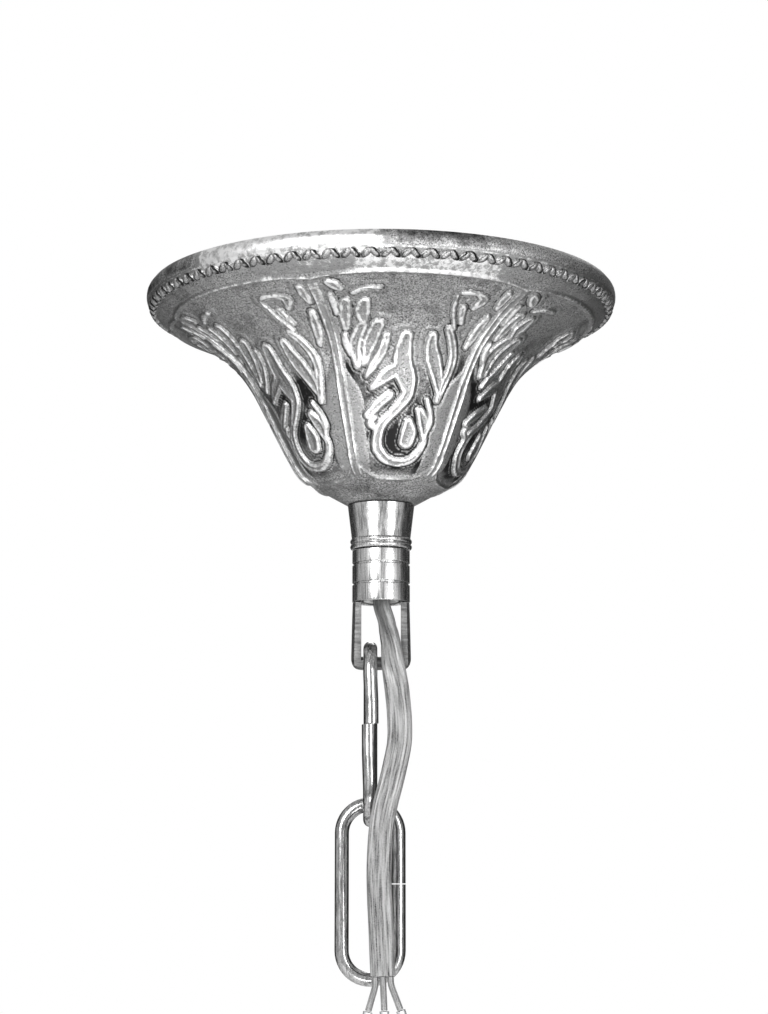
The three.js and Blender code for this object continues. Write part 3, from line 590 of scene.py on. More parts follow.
def coil_station(step):
    wound = (COIL_START - COIL_END) * step / COIL_STEPS
    sunk = smoother(wound / SINK_ANGLE)
    azimuth = COIL_START - wound
    radius = COIL_RADIUS - COIL_PITCH * wound / 360 + LEAD_OUT * (1 - sunk)
    turn = math.radians(azimuth)
    height = POLE_HEIGHT + (COIL_HEIGHT - POLE_HEIGHT) * sunk
    return (radius * math.cos(turn), radius * math.sin(turn), height, azimuth, -90 * sunk)


coil = [coil_station(step) for step in range(COIL_STEPS + 1)]
later = [(x, y, z, azimuth - TWO_TURNS, rise) for x, y, z, azimuth, rise in RISER + TAIL]
stations = np.array([*LEAD, *coil, *later])
TAIL_START = len(LEAD) + len(coil) + len(RISER) - 1
LAST = len(stations) - 1
print(len(stations), "stations on the cable's route")

# %% [markdown]
# A smooth line runs through the stations. A centripetal Catmull-Rom curve is a good choice for a
# cable: it passes through every point and never loops or overshoots between close ones.

# %% Follow the route
NEARBY = 0.01
STEEP = 0.8


def catmull_rom(points, place, power=0.5):
    """The point of a Catmull-Rom curve at a place, counted in its points; power 0.5 makes it
    centripetal and 0 uniform."""
    last = len(points) - 1
    i = min(int(place), last - 1)
    share = place - i
    a, b = points[i], points[i + 1]
    before = points[i - 1] if i else 2 * a - b
    after = points[i + 2] if i + 2 <= last else 2 * b - a
    pairs = (before, a), (a, b), (b, after)
    near, step, far = (np.linalg.norm(q - p) ** power for p, q in pairs)
    first = (a - before) / near - (b - before) / (near + step) + (b - a) / step
    second = (b - a) / step - (after - a) / (step + far) + (after - b) / far
    first, second = first * step, second * step
    cubic = 2 * a - 2 * b + first + second
    square = -3 * a + 3 * b - 2 * first - second
    return a + first * share + square * share**2 + cubic * share**3


def unit(vector):
    return vector / np.linalg.norm(vector)


def travelled(line):
    """The distance along a line at each of its points."""
    return np.concatenate([[0], np.cumsum(np.linalg.norm(np.diff(line, axis=0), axis=1))])


def line_frame(line, place, across=None):
    """A line's point at a place, a direction across it, the one square to both, and ahead."""
    ahead = catmull_rom(line, min(place + NEARBY, len(line) - 1))
    ahead = unit(ahead - catmull_rom(line, max(place - NEARBY, 0)))
    if across is None:
        across = np.array((0.0, 0.0, 1.0) if abs(ahead[2]) < STEEP else (1.0, 0.0, 0.0))
    across = unit(across - ahead * across.dot(ahead))
    return catmull_rom(line, place), across, np.cross(ahead, across), ahead


def cable_frame(place):
    """The cable's centre and the directions of its width, its thickness and its run."""
    i = min(int(place), LAST - 1)
    turns = stations[i, 3:] + (stations[i + 1, 3:] - stations[i, 3:]) * (place - i)
    azimuth, rise = np.radians(turns)
    flat = math.cos(rise)
    width = np.array([flat * math.cos(azimuth), flat * math.sin(azimuth), math.sin(rise)])
    return line_frame(stations[:, :3], place, width)


# %% [markdown]
# ## The cable
#
# Seen from its end the sheath is three round lobes with a shallow waist between them. Each core is
# a bundle of tinned strands, twisted like rope, so its section is a small cog that turns as it
# goes. A curve with a bevel would do for a round cable. This one is flat and its width turns on the
# way, so rings of points are placed along the route instead. A free cord is declared with its real
# length.

# %% Sweep the sheath and the strands
SHEATH_SIDES = 36
WAIST = 0.2
STRAND_BUNDLE_RADIUS = 0.92
STRANDS_SEEN = 7
STRAND_GROOVE = 0.12
STRAND_TWIST_LENGTH = 8.5
CABLE_GAP = 0.3


def sheath_section():
    """The three-lobed section, from its right edge round and back, in millimetres."""
    half = CABLE_THICKNESS / 2
    points = []
    for i in range(SHEATH_SIDES):
        angle = 2 * math.pi * i / SHEATH_SIDES
        x = math.copysign(abs(math.cos(angle)) ** 0.8, math.cos(angle)) * CABLE_WIDTH / 2
        past_core = max(abs(x) - CORE_SPACING, 0)
        lobes = 1 - WAIST * (1 - math.cos(2 * math.pi * x / CORE_SPACING)) / 2
        height = math.sqrt(max(half**2 - past_core**2, 0)) * (lobes if past_core == 0 else 1)
        at_edge = i % (SHEATH_SIDES // 2) == 0
        points.append((x, 0 if at_edge else math.copysign(height, math.sin(angle))))
    return points


def sweep(name, frames, section, sizes, material, sharp):
    """A tube whose section has a size at each frame. It stores how far across and along its cord
    each point lies, in millimetres."""
    rings = [
        [(centre + (across * x + up * y) * size) * MM for x, y in section]
        for (centre, across, up, _), size in zip(frames, sizes)
    ]
    faces = tube_faces(len(rings), len(section))
    piece = make_piece(name, np.vstack(rings), faces, material, sharp)
    along = travelled([np.mean(ring, axis=0) / MM for ring in rings])
    store(piece, "cord_place", [(x, distance, y) for distance in along for x, y in section])
    return piece


def sweep_sheath(name, places):
    frames = [cable_frame(place) for place in places]
    return sweep(name, frames, sheath_section(), [1] * len(frames), sheath_plastic, sharp=60)


def sweep_strands(name, places):
    """The three twisted bundles as one mesh."""
    points, faces = [], []
    steps = STRANDS_SEEN * 4
    frames = [cable_frame(place) for place in places]
    distances = travelled([centre for centre, *_ in frames])
    for side in (-1, 0, 1):
        faces += tube_faces(len(frames), steps, first=len(points))
        for (centre, width, up, _), distance in zip(frames, distances):
            twist = 2 * math.pi * distance / STRAND_TWIST_LENGTH
            for j in range(steps):
                angle = 2 * math.pi * j / steps
                cog = 1 - STRAND_GROOVE * (1 - math.cos(STRANDS_SEEN * (angle - twist)))
                radius = STRAND_BUNDLE_RADIUS * cog
                x = side * CORE_SPACING + radius * math.cos(angle)
                points.append((centre + width * x + up * radius * math.sin(angle)) * MM)
    return make_piece(name, points, faces, strand_metal, sharp=60)


def route_points(places):
    return [cable_frame(place)[0] * MM for place in places]


def route_length(points):
    return float(travelled(points)[-1])


spare_places = np.linspace(0, TAIL_START, 4 * TAIL_START + 1)
tail_gap = CABLE_GAP / np.linalg.norm(stations[TAIL_START + 1, :3] - stations[TAIL_START, :3])
tail_steps = round((LAST - TAIL_START - tail_gap) * 10)
tail_places = np.linspace(TAIL_START + tail_gap, LAST, tail_steps + 1)
cable_spare = sweep_sheath("cable_spare", spare_places)
cable_hanging = sweep_sheath("cable_hanging", tail_places)
dress(cable_spare, "root", "cable_sheath", "cable_coil", "cable_riser")
dress(cable_hanging, "collar", "cable_sheath", "cable_tail")
strands_spare = dress(sweep_strands("strands_spare", spare_places), "root", "ferrule_tin")
strands_hanging = dress(sweep_strands("strands_hanging", tail_places), "collar", "ferrule_tin")
spare_route, tail_route = route_points(spare_places), route_points(tail_places)
lengths = [round(route_length(route), 3) for route in (spare_route, tail_route)]
print("spare and hanging length in metres:", *lengths)

# %% [markdown]
# At both ends the sheath is stripped and the three cores part. Each is a clear tube over its
# bundle. The upper ones go bare into the terminal inserts, and the lower ones carry crimped
# ferrules.

# %% Part the cores
CORE_RADIUS = 0.85
CONDUCTOR_RADIUS = 0.6
CRIMP_RADII = (1.25, 1.25, 0.95, 0.9)
POLES = (-27, -34, -41)
CLAMP_PLACE = 2.4
BARE_FRONT = 7.5
CORE_FRONT = 7.6
BLOCK_BACK = 8.5
SHEATH_GAP = 0.3
WIRE_STEPS = 6
WIRE_SIDES = 16


def wire(name, points, radii, material):
    """A round tube through points, with one radius or one for each, in millimetres."""
    line = np.array(points, float)
    places = np.arange((len(line) - 1) * WIRE_STEPS + 1) / WIRE_STEPS
    sizes = np.interp(places, range(len(line)), np.broadcast_to(radii, len(line)))
    turns = [2 * math.pi * j / WIRE_SIDES for j in range(WIRE_SIDES)]
    circle = [(math.cos(turn), math.sin(turn)) for turn in turns]
    frames = [line_frame(line, place) for place in places]
    return sweep(name, frames, circle, sizes, material, sharp=40)


def part_core(end, number, path, bare_path, body, node):
    """The clear tube and the bare wire of one core."""
    core = wire(f"core_{end}_{number}", path, CORE_RADIUS, sheath_plastic)
    bared = wire(f"conductor_{end}_{number}", bare_path, CONDUCTOR_RADIUS, strand_metal)
    dress(core, body, "core_sheath", f"{node}_{number}")
    return core, dress(bared, body, "ferrule_tin")


upper_cores = []
centre, width, _, ahead = cable_frame(0)
for number, (x, side) in enumerate(zip(POLES, (-1, 0, 1)), 1):
    sheath_end = centre + width * side * CORE_SPACING - ahead * SHEATH_GAP
    path = [(x, CORE_FRONT, POLE_HEIGHT), (x, BLOCK_BACK + 1, POLE_HEIGHT)]
    path += [sheath_end - ahead * 3, sheath_end]
    bare = [(x, CLAMP_PLACE, POLE_HEIGHT), (x, BARE_FRONT, POLE_HEIGHT), *path[1:]]
    upper_cores += part_core("top", number, path, bare, "root", "core_upper")


def fanned(side, drop, spread):
    """A point below the hanging end, in millimetres down and outwards."""
    return centre + width * side * (CORE_SPACING + spread) + ahead * drop


lower_cores = []
centre, width, _, ahead = cable_frame(LAST)
for number, side in enumerate((-1, 0, 1), 1):
    path = [fanned(side, *place) for place in ((0.3, 0), (2.5, 0.1), (6, 1.2), (9, 2.2))]
    lower_cores += part_core("end", number, path, path, "collar", "core_lower")
    crimp = [fanned(side, *place) for place in ((9.3, 2.3), (11, 2.8), (11.3, 2.89), (15.3, 4))]
    ferrule = wire(f"crimp_{number}", crimp, CRIMP_RADII, zinc_steel)
    lower_cores.append(dress(ferrule, "collar", "ferrule_tin", f"ferrule_{number}"))

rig.cord(
    cable_spare,
    exit=(POLES[1] * MM, BLOCK_BACK * MM, POLE_HEIGHT * MM),
    length=route_length(spare_route),
    diameter=CABLE_WIDTH * MM,
    far_end="object",
    stiffness="limp",
    lay="coiled",
    path=spare_route,
    with_pieces=[strands_spare, *upper_cores],
)
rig.cord(
    cable_hanging,
    exit=spare_route[-1],
    length=route_length(tail_route),
    diameter=CABLE_WIDTH * MM,
    far_end="connector",
    stiffness="limp",
    lay="hanging",
    path=tail_route,
    with_pieces=[strands_hanging, *lower_cores],
)

# %% [markdown]
# ## The canopy
#
# The canopy is pressed from one sheet: a bell with a rolled rim and six panels of acanthus leaf. A
# pressed relief is a height above a smooth surface, so the bell is a grid whose points are pushed
# out along its normal. The leaf is drawn flat, as a hand would draw it: lobes are bent strokes with
# a radius at each place, and the frame is thin ridges.

# %% Follow the bell's meridian
RIM_RADIUS = 65
BELL_HEIGHT = 60
BELL_TOP = -0.4
NECK_RADIUS = 9.3
HOLE_RADIUS = 5.3
WALL = 0.9
MERIDIAN_STEPS = 40
NORMAL_REACH = 0.4
PANELS = 6
PANEL_TURN = math.radians(11.5)
PANEL_ANGLE = 2 * math.pi / PANELS
BELL = [
    (0.981, 0), (0.997, 0.025), (0.998, 0.062), (0.98, 0.09), (0.938, 0.133), (0.852, 0.183),
    (0.757, 0.233), (0.668, 0.3), (0.6, 0.367), (0.545, 0.45), (0.503, 0.533), (0.424, 0.7),
    (0.384, 0.783), (0.335, 0.867), (0.25, 0.933),
]


def bell_line():
    """Radius and height at many points of the meridian."""
    corners = [(r * RIM_RADIUS, -h * BELL_HEIGHT) for r, h in BELL]
    corners = np.array([*corners, (NECK_RADIUS, -BELL_HEIGHT)])
    places = np.arange((len(corners) - 1) * MERIDIAN_STEPS + 1) / MERIDIAN_STEPS
    return np.array([catmull_rom(corners, place, power=0) for place in places])


bell = bell_line()
bell_along = travelled(bell)
BELL_LENGTH = bell_along[-1]


def on_bell(along):
    """Radius and height at a distance from the rim."""
    along = np.clip(along, 0, BELL_LENGTH)
    return np.array([np.interp(along, bell_along, values) for values in bell.T])


def bell_at(along):
    """Radius, height and outward normal (radial, upward) at a distance from the rim."""
    radius, height = on_bell(along)
    out, down = on_bell(along + NORMAL_REACH) - on_bell(along - NORMAL_REACH)
    size = np.hypot(out, down)
    return radius, height + BELL_TOP, -down / size, out / size


print("the meridian is", round(BELL_LENGTH, 1), "mm long")

# %% [markdown]
# Each lobe is a bent stroke from its round head to its tip. Its places are shares: across the
# panel, from -1 at the left rib to 1 at the right one, and down from its upper line to its foot.
# With each place goes half the lobe's width there, as a share of a main lobe's. The lobes lie on a
# low body. A groove with painted shade runs round each, its edge is a soft ridge with a painted
# highlight, and its middle gets a duller painted tone, with a vein in the wide ones, as on a chased
# leaf.

# %% Draw the leaf
LOBE_HALF = 1.5
PANEL_TOP = 12.7
PANEL_FOOT = 9.2
LEAF = [
    ((-0.06, 0.36, 1.05), (-0.08, 0.42, 1.4), (-0.07, 0.48, 1.6), (-0.02, 0.53, 1.7),
     (0.04, 0.58, 1.2)),
    ((-0.12, 0.5, 1.2), (-0.3, 0.535, 1.05), (-0.52, 0.586, 0.45)),
    ((0.06, 0.55, 1), (0.05, 0.61, 0.9), (-0.05, 0.655, 0.8), (-0.2, 0.7, 0.65)),
    ((0.12, 0.73, 0.65), (0.15, 0.775, 1.3), (0.12, 0.815, 1.2)),
    ((-0.2, 0.7, 0.6), (-0.37, 0.743, 0.75), (-0.46, 0.806, 0.8), (-0.45, 0.851, 0.8)),
    ((-0.45, 0.851, 0.8), (-0.28, 0.893, 0.75), (0, 0.909, 0.7), (0.28, 0.893, 0.6),
     (0.45, 0.851, 0.5)),
    ((0.45, 0.851, 0.5), (0.5, 0.81, 0.45), (0.47, 0.77, 0.4)),
    ((-0.31, 0.359, 0.6), (-0.37, 0.431, 0.75), (-0.5, 0.494, 0.65), (-0.6, 0.536, 0.3)),
    ((-0.42, 0.303, 1.1), (-0.52, 0.384, 1.15), (-0.62, 0.48, 0.5)),
    ((-0.61, 0.307, 0.9), (-0.72, 0.392, 1.05), (-0.72, 0.492, 0.5)),
    ((-0.56, 0.188, 1.05), (-0.58, 0.229, 1.25), (-0.58, 0.274, 0.75)),
    ((-0.64, 0.124, 0.5), (-0.53, 0.102, 0.6), (-0.39, 0.096, 0.4)),
    ((-0.75, 0.177, 0.85), (-0.78, 0.248, 0.9), (-0.8, 0.315, 0.5)),
    ((-0.86, 0.049, 0.5), (-0.81, 0.069, 0.8), (-0.76, 0.097, 0.5)),
    ((-0.24, 0.618, 0.6), (-0.43, 0.658, 0.8), (-0.61, 0.702, 0.6)),
    ((0.28, 0.35, 0.75), (0.3, 0.4, 1.05), (0.37, 0.455, 1.35), (0.44, 0.5, 1.2),
     (0.52, 0.548, 1), (0.57, 0.59, 0.55)),
    ((0.46, 0.31, 0.65), (0.56, 0.365, 0.7), (0.65, 0.43, 0.7), (0.67, 0.49, 0.65),
     (0.62, 0.56, 0.65), (0.58, 0.63, 0.45)),
    ((0.86, 0.22, 0.5), (0.84, 0.28, 0.75), (0.83, 0.33, 0.7), (0.8, 0.385, 0.4)),
    ((0.3, 0.68, 0.6), (0.4, 0.72, 1), (0.45, 0.753, 0.9), (0.47, 0.79, 0.4)),
    ((0.58, 0.102, 0.5), (0.66, 0.125, 0.9), (0.62, 0.185, 0.45)),
    ((0.5, 0.19, 0.65), (0.52, 0.225, 0.6), (0.57, 0.27, 0.4)),
    ((0.87, 0.07, 0.6), (0.87, 0.12, 0.75), (0.88, 0.165, 0.4)),
    ((-0.5, 0.716, 0.4), (-0.59, 0.738, 0.45), (-0.51, 0.756, 0.4)),
    ((-0.84, 0.35, 0.4), (-0.84, 0.39, 0.45), (-0.8, 0.44, 0.25)),
    ((-0.88, 0.13, 0.4), (-0.87, 0.18, 0.5), (-0.87, 0.24, 0.3)),
    ((0.37, 0.12, 0.2), (0.41, 0.21, 0.3), (0.52, 0.3, 0.25)),
    ((0.4, 0.632, 0.3), (0.5, 0.68, 0.35), (0.55, 0.73, 0.35), (0.5, 0.77, 0.3)),
    ((0.4, 0.105, 0.3), (0.47, 0.098, 0.45), (0.54, 0.1, 0.3)),
]
PANEL_LENGTH = BELL_LENGTH - PANEL_TOP - PANEL_FOOT
DISCS_PER_PLACE = 9
BODY_REACH = 2.4
LOW_BODY_REACH = 1.2
HOLLOW_PAINTED_SHADE = 0.22
MARGIN_LEFT = 0.32
MARGIN_RIGHT = 0.42
MARGIN_TONE = 0.42


def smooth_step(value):
    value = np.clip(value, 0, 1)
    return value * value * (3 - 2 * value)


def lobe_discs(lobe):
    """Discs along a lobe's bent line: distance across, distance from the rim, half width."""
    line, halves = [], [half * LOBE_HALF for _, _, half in lobe]
    for share_across, share_down, _ in lobe:
        along = PANEL_TOP + share_down * PANEL_LENGTH
        line.append((share_across * PANEL_ANGLE / 2 * bell_at(along)[0], along))
    line = np.array(line)
    for place in np.linspace(0, len(lobe) - 1, DISCS_PER_PLACE * len(lobe)):
        yield *catmull_rom(line, place), np.interp(place, range(len(lobe)), halves)


DISCS = [disc for lobe in LEAF for disc in lobe_discs(lobe)]


def chased(depth, from_line, reach):
    """Height and painted light in and round a lobe, from how deep in it and how far off its line."""
    body = smooth_step((depth + reach) / 0.9)
    groove = smooth_step((depth + 1.1) / 0.5) * smooth_step((-0.1 - depth) / 0.4)
    rise = smooth_step((depth + 0.5) / 0.8)
    middle = smooth_step((depth - 0.45) / 0.45)
    vein = smooth_step((0.5 - from_line) / 0.4) * smooth_step((depth - 1) / 0.4)
    height = 0.3 * body + 0.6 * rise - 0.25 * middle - 0.2 * groove - 0.15 * vein
    # The second value is painted light: painted shade in the groove and the middle, a painted highlight on the rising
    # edge.
    return height, 0.35 * body + 0.8 * rise - 0.75 * middle - 0.6 * groove - 0.3 * vein


def ridge(distance, half_width):
    return smooth_step(1 - distance / half_width)


def raised(row, height, painted_light):
    """A row of heights and painted light values, with a feature wherever it stands above them."""
    above = height > np.maximum(row[0], 0.02)
    return np.where(above, np.array([height, painted_light]), row)


def leaf_relief(across, along, half_panel):
    """How far the sheet stands out along one row of a panel, in millimetres, and its painted light."""
    depth = np.full(across.shape, -9.0)
    from_line = np.full(across.shape, 9.0)
    for x, y, size in DISCS:
        if abs(y - along) < size + 1.6:
            distance = np.hypot(across - x, along - y)
            depth = np.maximum(depth, size - distance)
            from_line = np.minimum(from_line, distance)

    # The body is narrower round the loop, and the hollow beside it gets darker painted shade.
    down = (along - PANEL_TOP) / PANEL_LENGTH
    low = smooth_step((down - 0.4) / 0.15)
    ends = smooth_step((1 - down) * 12)
    row = np.array(chased(depth, from_line, BODY_REACH + (LOW_BODY_REACH - BODY_REACH) * low))
    row[1] -= HOLLOW_PAINTED_SHADE * low * ends * (depth < -1.2)

    # A flat margin widens towards the foot. The frame's upper and lower lines bend at its corners and carry painted
    # highlights.
    to_edge = np.abs(across) / half_panel
    width = np.where(across < 0, MARGIN_LEFT, MARGIN_RIGHT) * smooth_step((down - 0.42) / 0.24)
    margin = smooth_step((to_edge - 1 + width) * half_panel / 0.5 + 0.5) * ends * (width > 0)
    row = raised(row, 0.35 * margin * (depth < -0.9), MARGIN_TONE * margin)
    top_line = PANEL_TOP + 1.6 * to_edge**4
    foot_line = PANEL_TOP + PANEL_LENGTH * (1 - 0.12 * to_edge**4)
    line = ridge(np.abs(along - top_line), 1.0)
    row = raised(row, 0.65 * line, 0.9 * line)
    line = ridge(np.abs(along - foot_line), 1.2)
    row = raised(row, 0.7 * line, 0.75 * line)

    # A rib with a thin line on each side of it parts the panels. Its crest carries a painted highlight.
    on_rib = smooth_step((down + 0.01) * 12) * smooth_step((1.02 - down) * 12)
    off_rib = half_panel - np.abs(across)
    crest = np.maximum(0.95 * ridge(np.abs(off_rib - 0.9), 0.8), 0.5 * ridge(off_rib, 1.6)) * on_rib
    return raised(row, crest * (crest > 0.05), 1.15 * crest)


# %% [markdown]
# The grid's columns are even round the bell. Its rows are close where the leaf is and wider on the
# plain rim. The inside repeats the relief more coarsely, as the back of a pressed sheet does.

# %% Press the bell
OUTER_COUNT = 96 * PANELS
INNER_COUNT = 24 * PANELS
PLAIN_RIM = 9.5
PLAIN_FOOT = 78
RELIEF_START = 10


def bell_rows(fine, plain):
    """Distances from the rim of the grid's rows."""
    rim = np.linspace(0, PLAIN_RIM, plain)
    leaf = np.arange(PLAIN_RIM + fine, PLAIN_FOOT - 0.5, fine)
    return np.concatenate([rim, leaf, np.linspace(PLAIN_FOOT, BELL_LENGTH, plain // 2)])


def ring_at(radius, height, count):
    """Points round the axis; radius and height are one number or one for each point."""
    angles = PANEL_TURN + np.arange(count) / count * 2 * math.pi
    flat = [radius * np.sin(angles), -radius * np.cos(angles), np.broadcast_to(height, count)]
    return np.stack(flat, axis=1) * MM


def pressed_rows(rows, count, push):
    """Rows of points of the pressed sheet; push moves the surface along its normal."""
    across = 2 * ((np.arange(count) * PANELS / count + 0.5) % 1 - 0.5)
    points, shine = [], []
    for along in rows:
        radius, height, out, up = bell_at(along)
        half_panel = PANEL_ANGLE / 2 * radius
        relief, painted_light = leaf_relief(across * half_panel, along, half_panel)
        below_rim = smooth_step((along - RELIEF_START) / 1.5)
        away = relief * below_rim + push
        points.append(ring_at(radius + out * away, height + up * away, count))
        shine.append(painted_light * below_rim)
    return points, shine


outer_rows = bell_rows(0.5, 16)
outer, outer_painted_light = pressed_rows(outer_rows, OUTER_COUNT, 0)
inner, _ = pressed_rows(bell_rows(2.4, 8)[::-1], INNER_COUNT, -WALL)
print(len(outer), "outer rows,", len(inner), "inner rows")

# %% [markdown]
# The outer and inner skins are joined by a rolled edge at the rim and by the flat floor round the
# nipple's hole. Where two grids of different counts meet, a bridge between the two loops closes it.
# The plain rim and the band below the beads get painted highlights and painted shade: two short
# tables give their painted light by the angle from the front, in degrees.

# %% Close the bell
RIM_PAINTED_LIGHT = (
    (-180, 0.3), (-62, -0.2), (-50, -0.2), (-46, 1), (-2, 1), (4, -0.15), (28, -0.1), (36, 0.1),
    (180, 0.3),
)
BAND_PAINTED_LIGHT = (
    (-180, 0.3), (-60, 0), (-38, 0.1), (-32, 0.45), (-10, 0.55), (-4, 0.85), (26, 0.85), (34, 0.3),
    (180, 0.3),
)
INSIDE_TONE = 0.35
RIM_LINE = 5.2
BAND_END = 12.8


def rim_painted_light(along):
    """The painted light of the rim and the band, with a painted bright line between them."""
    turns = np.degrees(PANEL_TURN) + np.arange(OUTER_COUNT) / OUTER_COUNT * 360
    turns = (turns + 180) % 360 - 180
    rim, band = (np.interp(turns, *zip(*table)) for table in (RIM_PAINTED_LIGHT, BAND_PAINTED_LIGHT))
    lower = smooth_step((along - 5.5) / 2)
    line = ridge(abs(along - RIM_LINE), 1)
    shine = (rim * (1 - lower) + band * lower) * (1 - line) + 0.8 * line
    return shine * smooth_step((BAND_END - along) / 0.6)


def closed_bell():
    floor = BELL_TOP - BELL_HEIGHT
    outside = [*outer, ring_at(HOLE_RADIUS, floor, OUTER_COUNT)]
    inside = [ring_at(HOLE_RADIUS, floor + WALL, INNER_COUNT), *inner]
    for row in inside:
        row[:, 2] = np.maximum(row[:, 2], (floor + WALL) * MM)
    faces = grid_faces(len(outside), OUTER_COUNT)
    faces += grid_faces(len(inside), INNER_COUNT, first=len(outside) * OUTER_COUNT)
    piece = make_piece("canopy_bell", np.vstack([*outside, *inside]), faces, canopy_plate)
    painted_light = [shine + rim_painted_light(along) for shine, along in zip(outer_painted_light, outer_rows)]
    painted_light += [np.zeros(OUTER_COUNT), np.full(len(inside) * INNER_COUNT, INSIDE_TONE)]
    store(piece, "painted_light", np.concatenate(painted_light))
    with edited(piece) as work:
        border = [edge for edge in work.edges if edge.is_boundary]
        for low in (True, False):
            loops = [edge for edge in border if (edge.verts[0].co.z < floor / 2 * MM) == low]
            bmesh.ops.bridge_loops(work, edges=loops)
    piece.data.set_sharp_from_angle(angle=math.radians(55))
    return piece


canopy_bell = closed_bell()
dress(canopy_bell, "canopy", "canopy_chrome", "canopy")
print("the bell has", len(canopy_bell.data.polygons), "faces")

# %% [markdown]
# ## The row of beads
#
# A zigzag of beads runs below the rim, thirteen pairs to a panel. They could be modelled one by one
# or as part of the relief, but Geometry Nodes put a pair wherever a point lies on a circle, so the
# count and the size stay single values. The tree ends in Realize Instances, because only real faces
# are kept in the finished piece.

# %% Build the bead tree
BEADS = 13 * PANELS
BEAD_ALONG = 6.9
BEAD_HALVES = (2, 1.1, 0.9)
BEAD_SLANT = math.radians(42)
BEAD_SIDE = 1.22


def new_tree(name, sizes):
    """A geometry tree with named number inputs, and the sockets that give them."""
    tree = bpy.data.node_groups.new(name, "GeometryNodeTree")
    tree.interface.new_socket("Geometry", in_out="INPUT", socket_type="NodeSocketGeometry")
    for words, value in sizes.items():
        kind = "NodeSocketInt" if isinstance(value, int) else "NodeSocketFloat"
        socket = tree.interface.new_socket(words, in_out="INPUT", socket_type=kind)
        socket.default_value = value
    tree.interface.new_socket("Geometry", in_out="OUTPUT", socket_type="NodeSocketGeometry")
    return tree, tree.nodes.new("NodeGroupInput").outputs


def finish_tree(tree, shape, material):
    """Ends a tree in real faces with a material."""
    real = add_node(tree, "GeometryNodeRealizeInstances", {"Geometry": shape})
    painted = add_node(tree, "GeometryNodeSetMaterial", {"Geometry": real, "Material": material})
    tree.links.new(painted, tree.nodes.new("NodeGroupOutput").inputs[0])
    return tree


def grown(name, tree, source=None):
    """A plain mesh from a tree on an object of its own."""
    carrier = add_object(f"{name}_carrier", source or bpy.data.meshes.new(name))
    carrier.modifiers.new("grow", "NODES").node_group = tree
    bpy.context.view_layer.update()
    evaluated = carrier.evaluated_get(bpy.context.evaluated_depsgraph_get())
    mesh = bpy.data.meshes.new_from_object(evaluated)
    bpy.data.objects.remove(carrier)
    mesh.name = name
    mesh.shade_smooth()
    return add_object(name, mesh)


def bead_tree(sizes):
    tree, given = new_tree("bead_row", sizes)

    def vector_maths(operation, *values):
        inputs = dict(enumerate(values))
        return add_node(tree, "ShaderNodeVectorMath", inputs, operation=operation)

    circle = {"Vertices": given["Count"], "Radius": given["Radius"]}
    circle = add_node(tree, "GeometryNodeMeshCircle", circle)
    lift = add_node(tree, "ShaderNodeCombineXYZ", {"Z": given["Height"]})
    points = add_node(tree, "GeometryNodeTransform", {"Geometry": circle, "Translation": lift})
    bead = {"Segments": 12, "Rings": 4, "Radius": MM}
    bead = add_node(tree, "GeometryNodeMeshUVSphere", bead)
    pair = add_node(tree, "GeometryNodeJoinGeometry")
    for side in (-1, 1):
        slanted = add_node(tree, "GeometryNodeTransform", {
            "Geometry": bead,
            "Scale": BEAD_HALVES,
            "Rotation": (0, 0, -side * BEAD_SLANT),
            "Translation": (side * BEAD_SIDE * MM, 0, 0),
        })
        tree.links.new(slanted, pair.node.inputs[0])
    where = add_node(tree, "GeometryNodeInputPosition")
    outward = vector_maths("NORMALIZE", vector_maths("MULTIPLY", where, (1, 1, 0)))
    leaned = add_node(tree, "ShaderNodeCombineXYZ", {"Z": given["Lean"]})
    axes = {"Primary Axis": vector_maths("ADD", outward, leaned), "Secondary Axis": (0, 0, 1)}
    turns = {"primary_axis": "Z", "secondary_axis": "Y"}
    facing = add_node(tree, "FunctionNodeAxesToRotation", axes, **turns)
    placed = {"Points": points, "Instance": pair, "Rotation": facing}
    placed = add_node(tree, "GeometryNodeInstanceOnPoints", placed)
    return finish_tree(tree, placed, canopy_plate)


bead_radius, bead_height, bead_out, bead_up = (float(value) for value in bell_at(BEAD_ALONG))
bead_sizes = {
    "Count": BEADS,
    "Radius": bead_radius * MM,
    "Height": bead_height * MM,
    "Lean": bead_up / bead_out,
}
beads = grown("bead_row", bead_tree(bead_sizes))

# %% [markdown]
# A pair of beads makes one tooth of the zigzag. What lies above its slanted middle line gets a
# painted highlight, its flanks get painted shade, and its right bead is painted a little darker than
# its left one.

# %% Paint light and shade on the beads
BEAD_PAINTED_LIGHT = ((-1.1, 0.5), (-0.6, -0.25), (0.4, -0.25), (0.8, 1.1))
RIGHT_BEAD_PAINTED_SHADE = 0.12

places = np.empty(3 * len(beads.data.vertices), np.float32)
beads.data.vertices.foreach_get("co", places)
x, y, z = places.reshape(-1, 3).T / MM
turn = np.arctan2(y, x) * BEADS / (2 * math.pi)
right = (turn - np.round(turn)) * 2 * math.pi * bead_radius / BEADS
up_wall = (np.hypot(x, y) - bead_radius) * bead_up + (z - bead_height) * bead_out
above = up_wall - math.tan(BEAD_SLANT) * (BEAD_SIDE - np.abs(right))
# Painted light on each tooth: a painted highlight above its slanted line, painted shade on its flanks, and the right
# bead painted darker.
store(beads, "painted_light", np.interp(above, *zip(*BEAD_PAINTED_LIGHT)) - RIGHT_BEAD_PAINTED_SHADE * (right > 0))
dress(beads, "canopy", "canopy_chrome")
print(BEADS, "beads,", len(beads.data.polygons), "faces")

# %% [markdown]
# ## Turned pieces
#
# The sleeve and the barrel are turned on a lathe, so each is an outline carried round the axis. A
# cylinder with loops cut into it could be shaped the same way, but in an outline each ring and
# groove keeps its own size. Real edges are never knife-sharp: a small arc at each corner is what
# gives a turned piece its thin bright line of light.

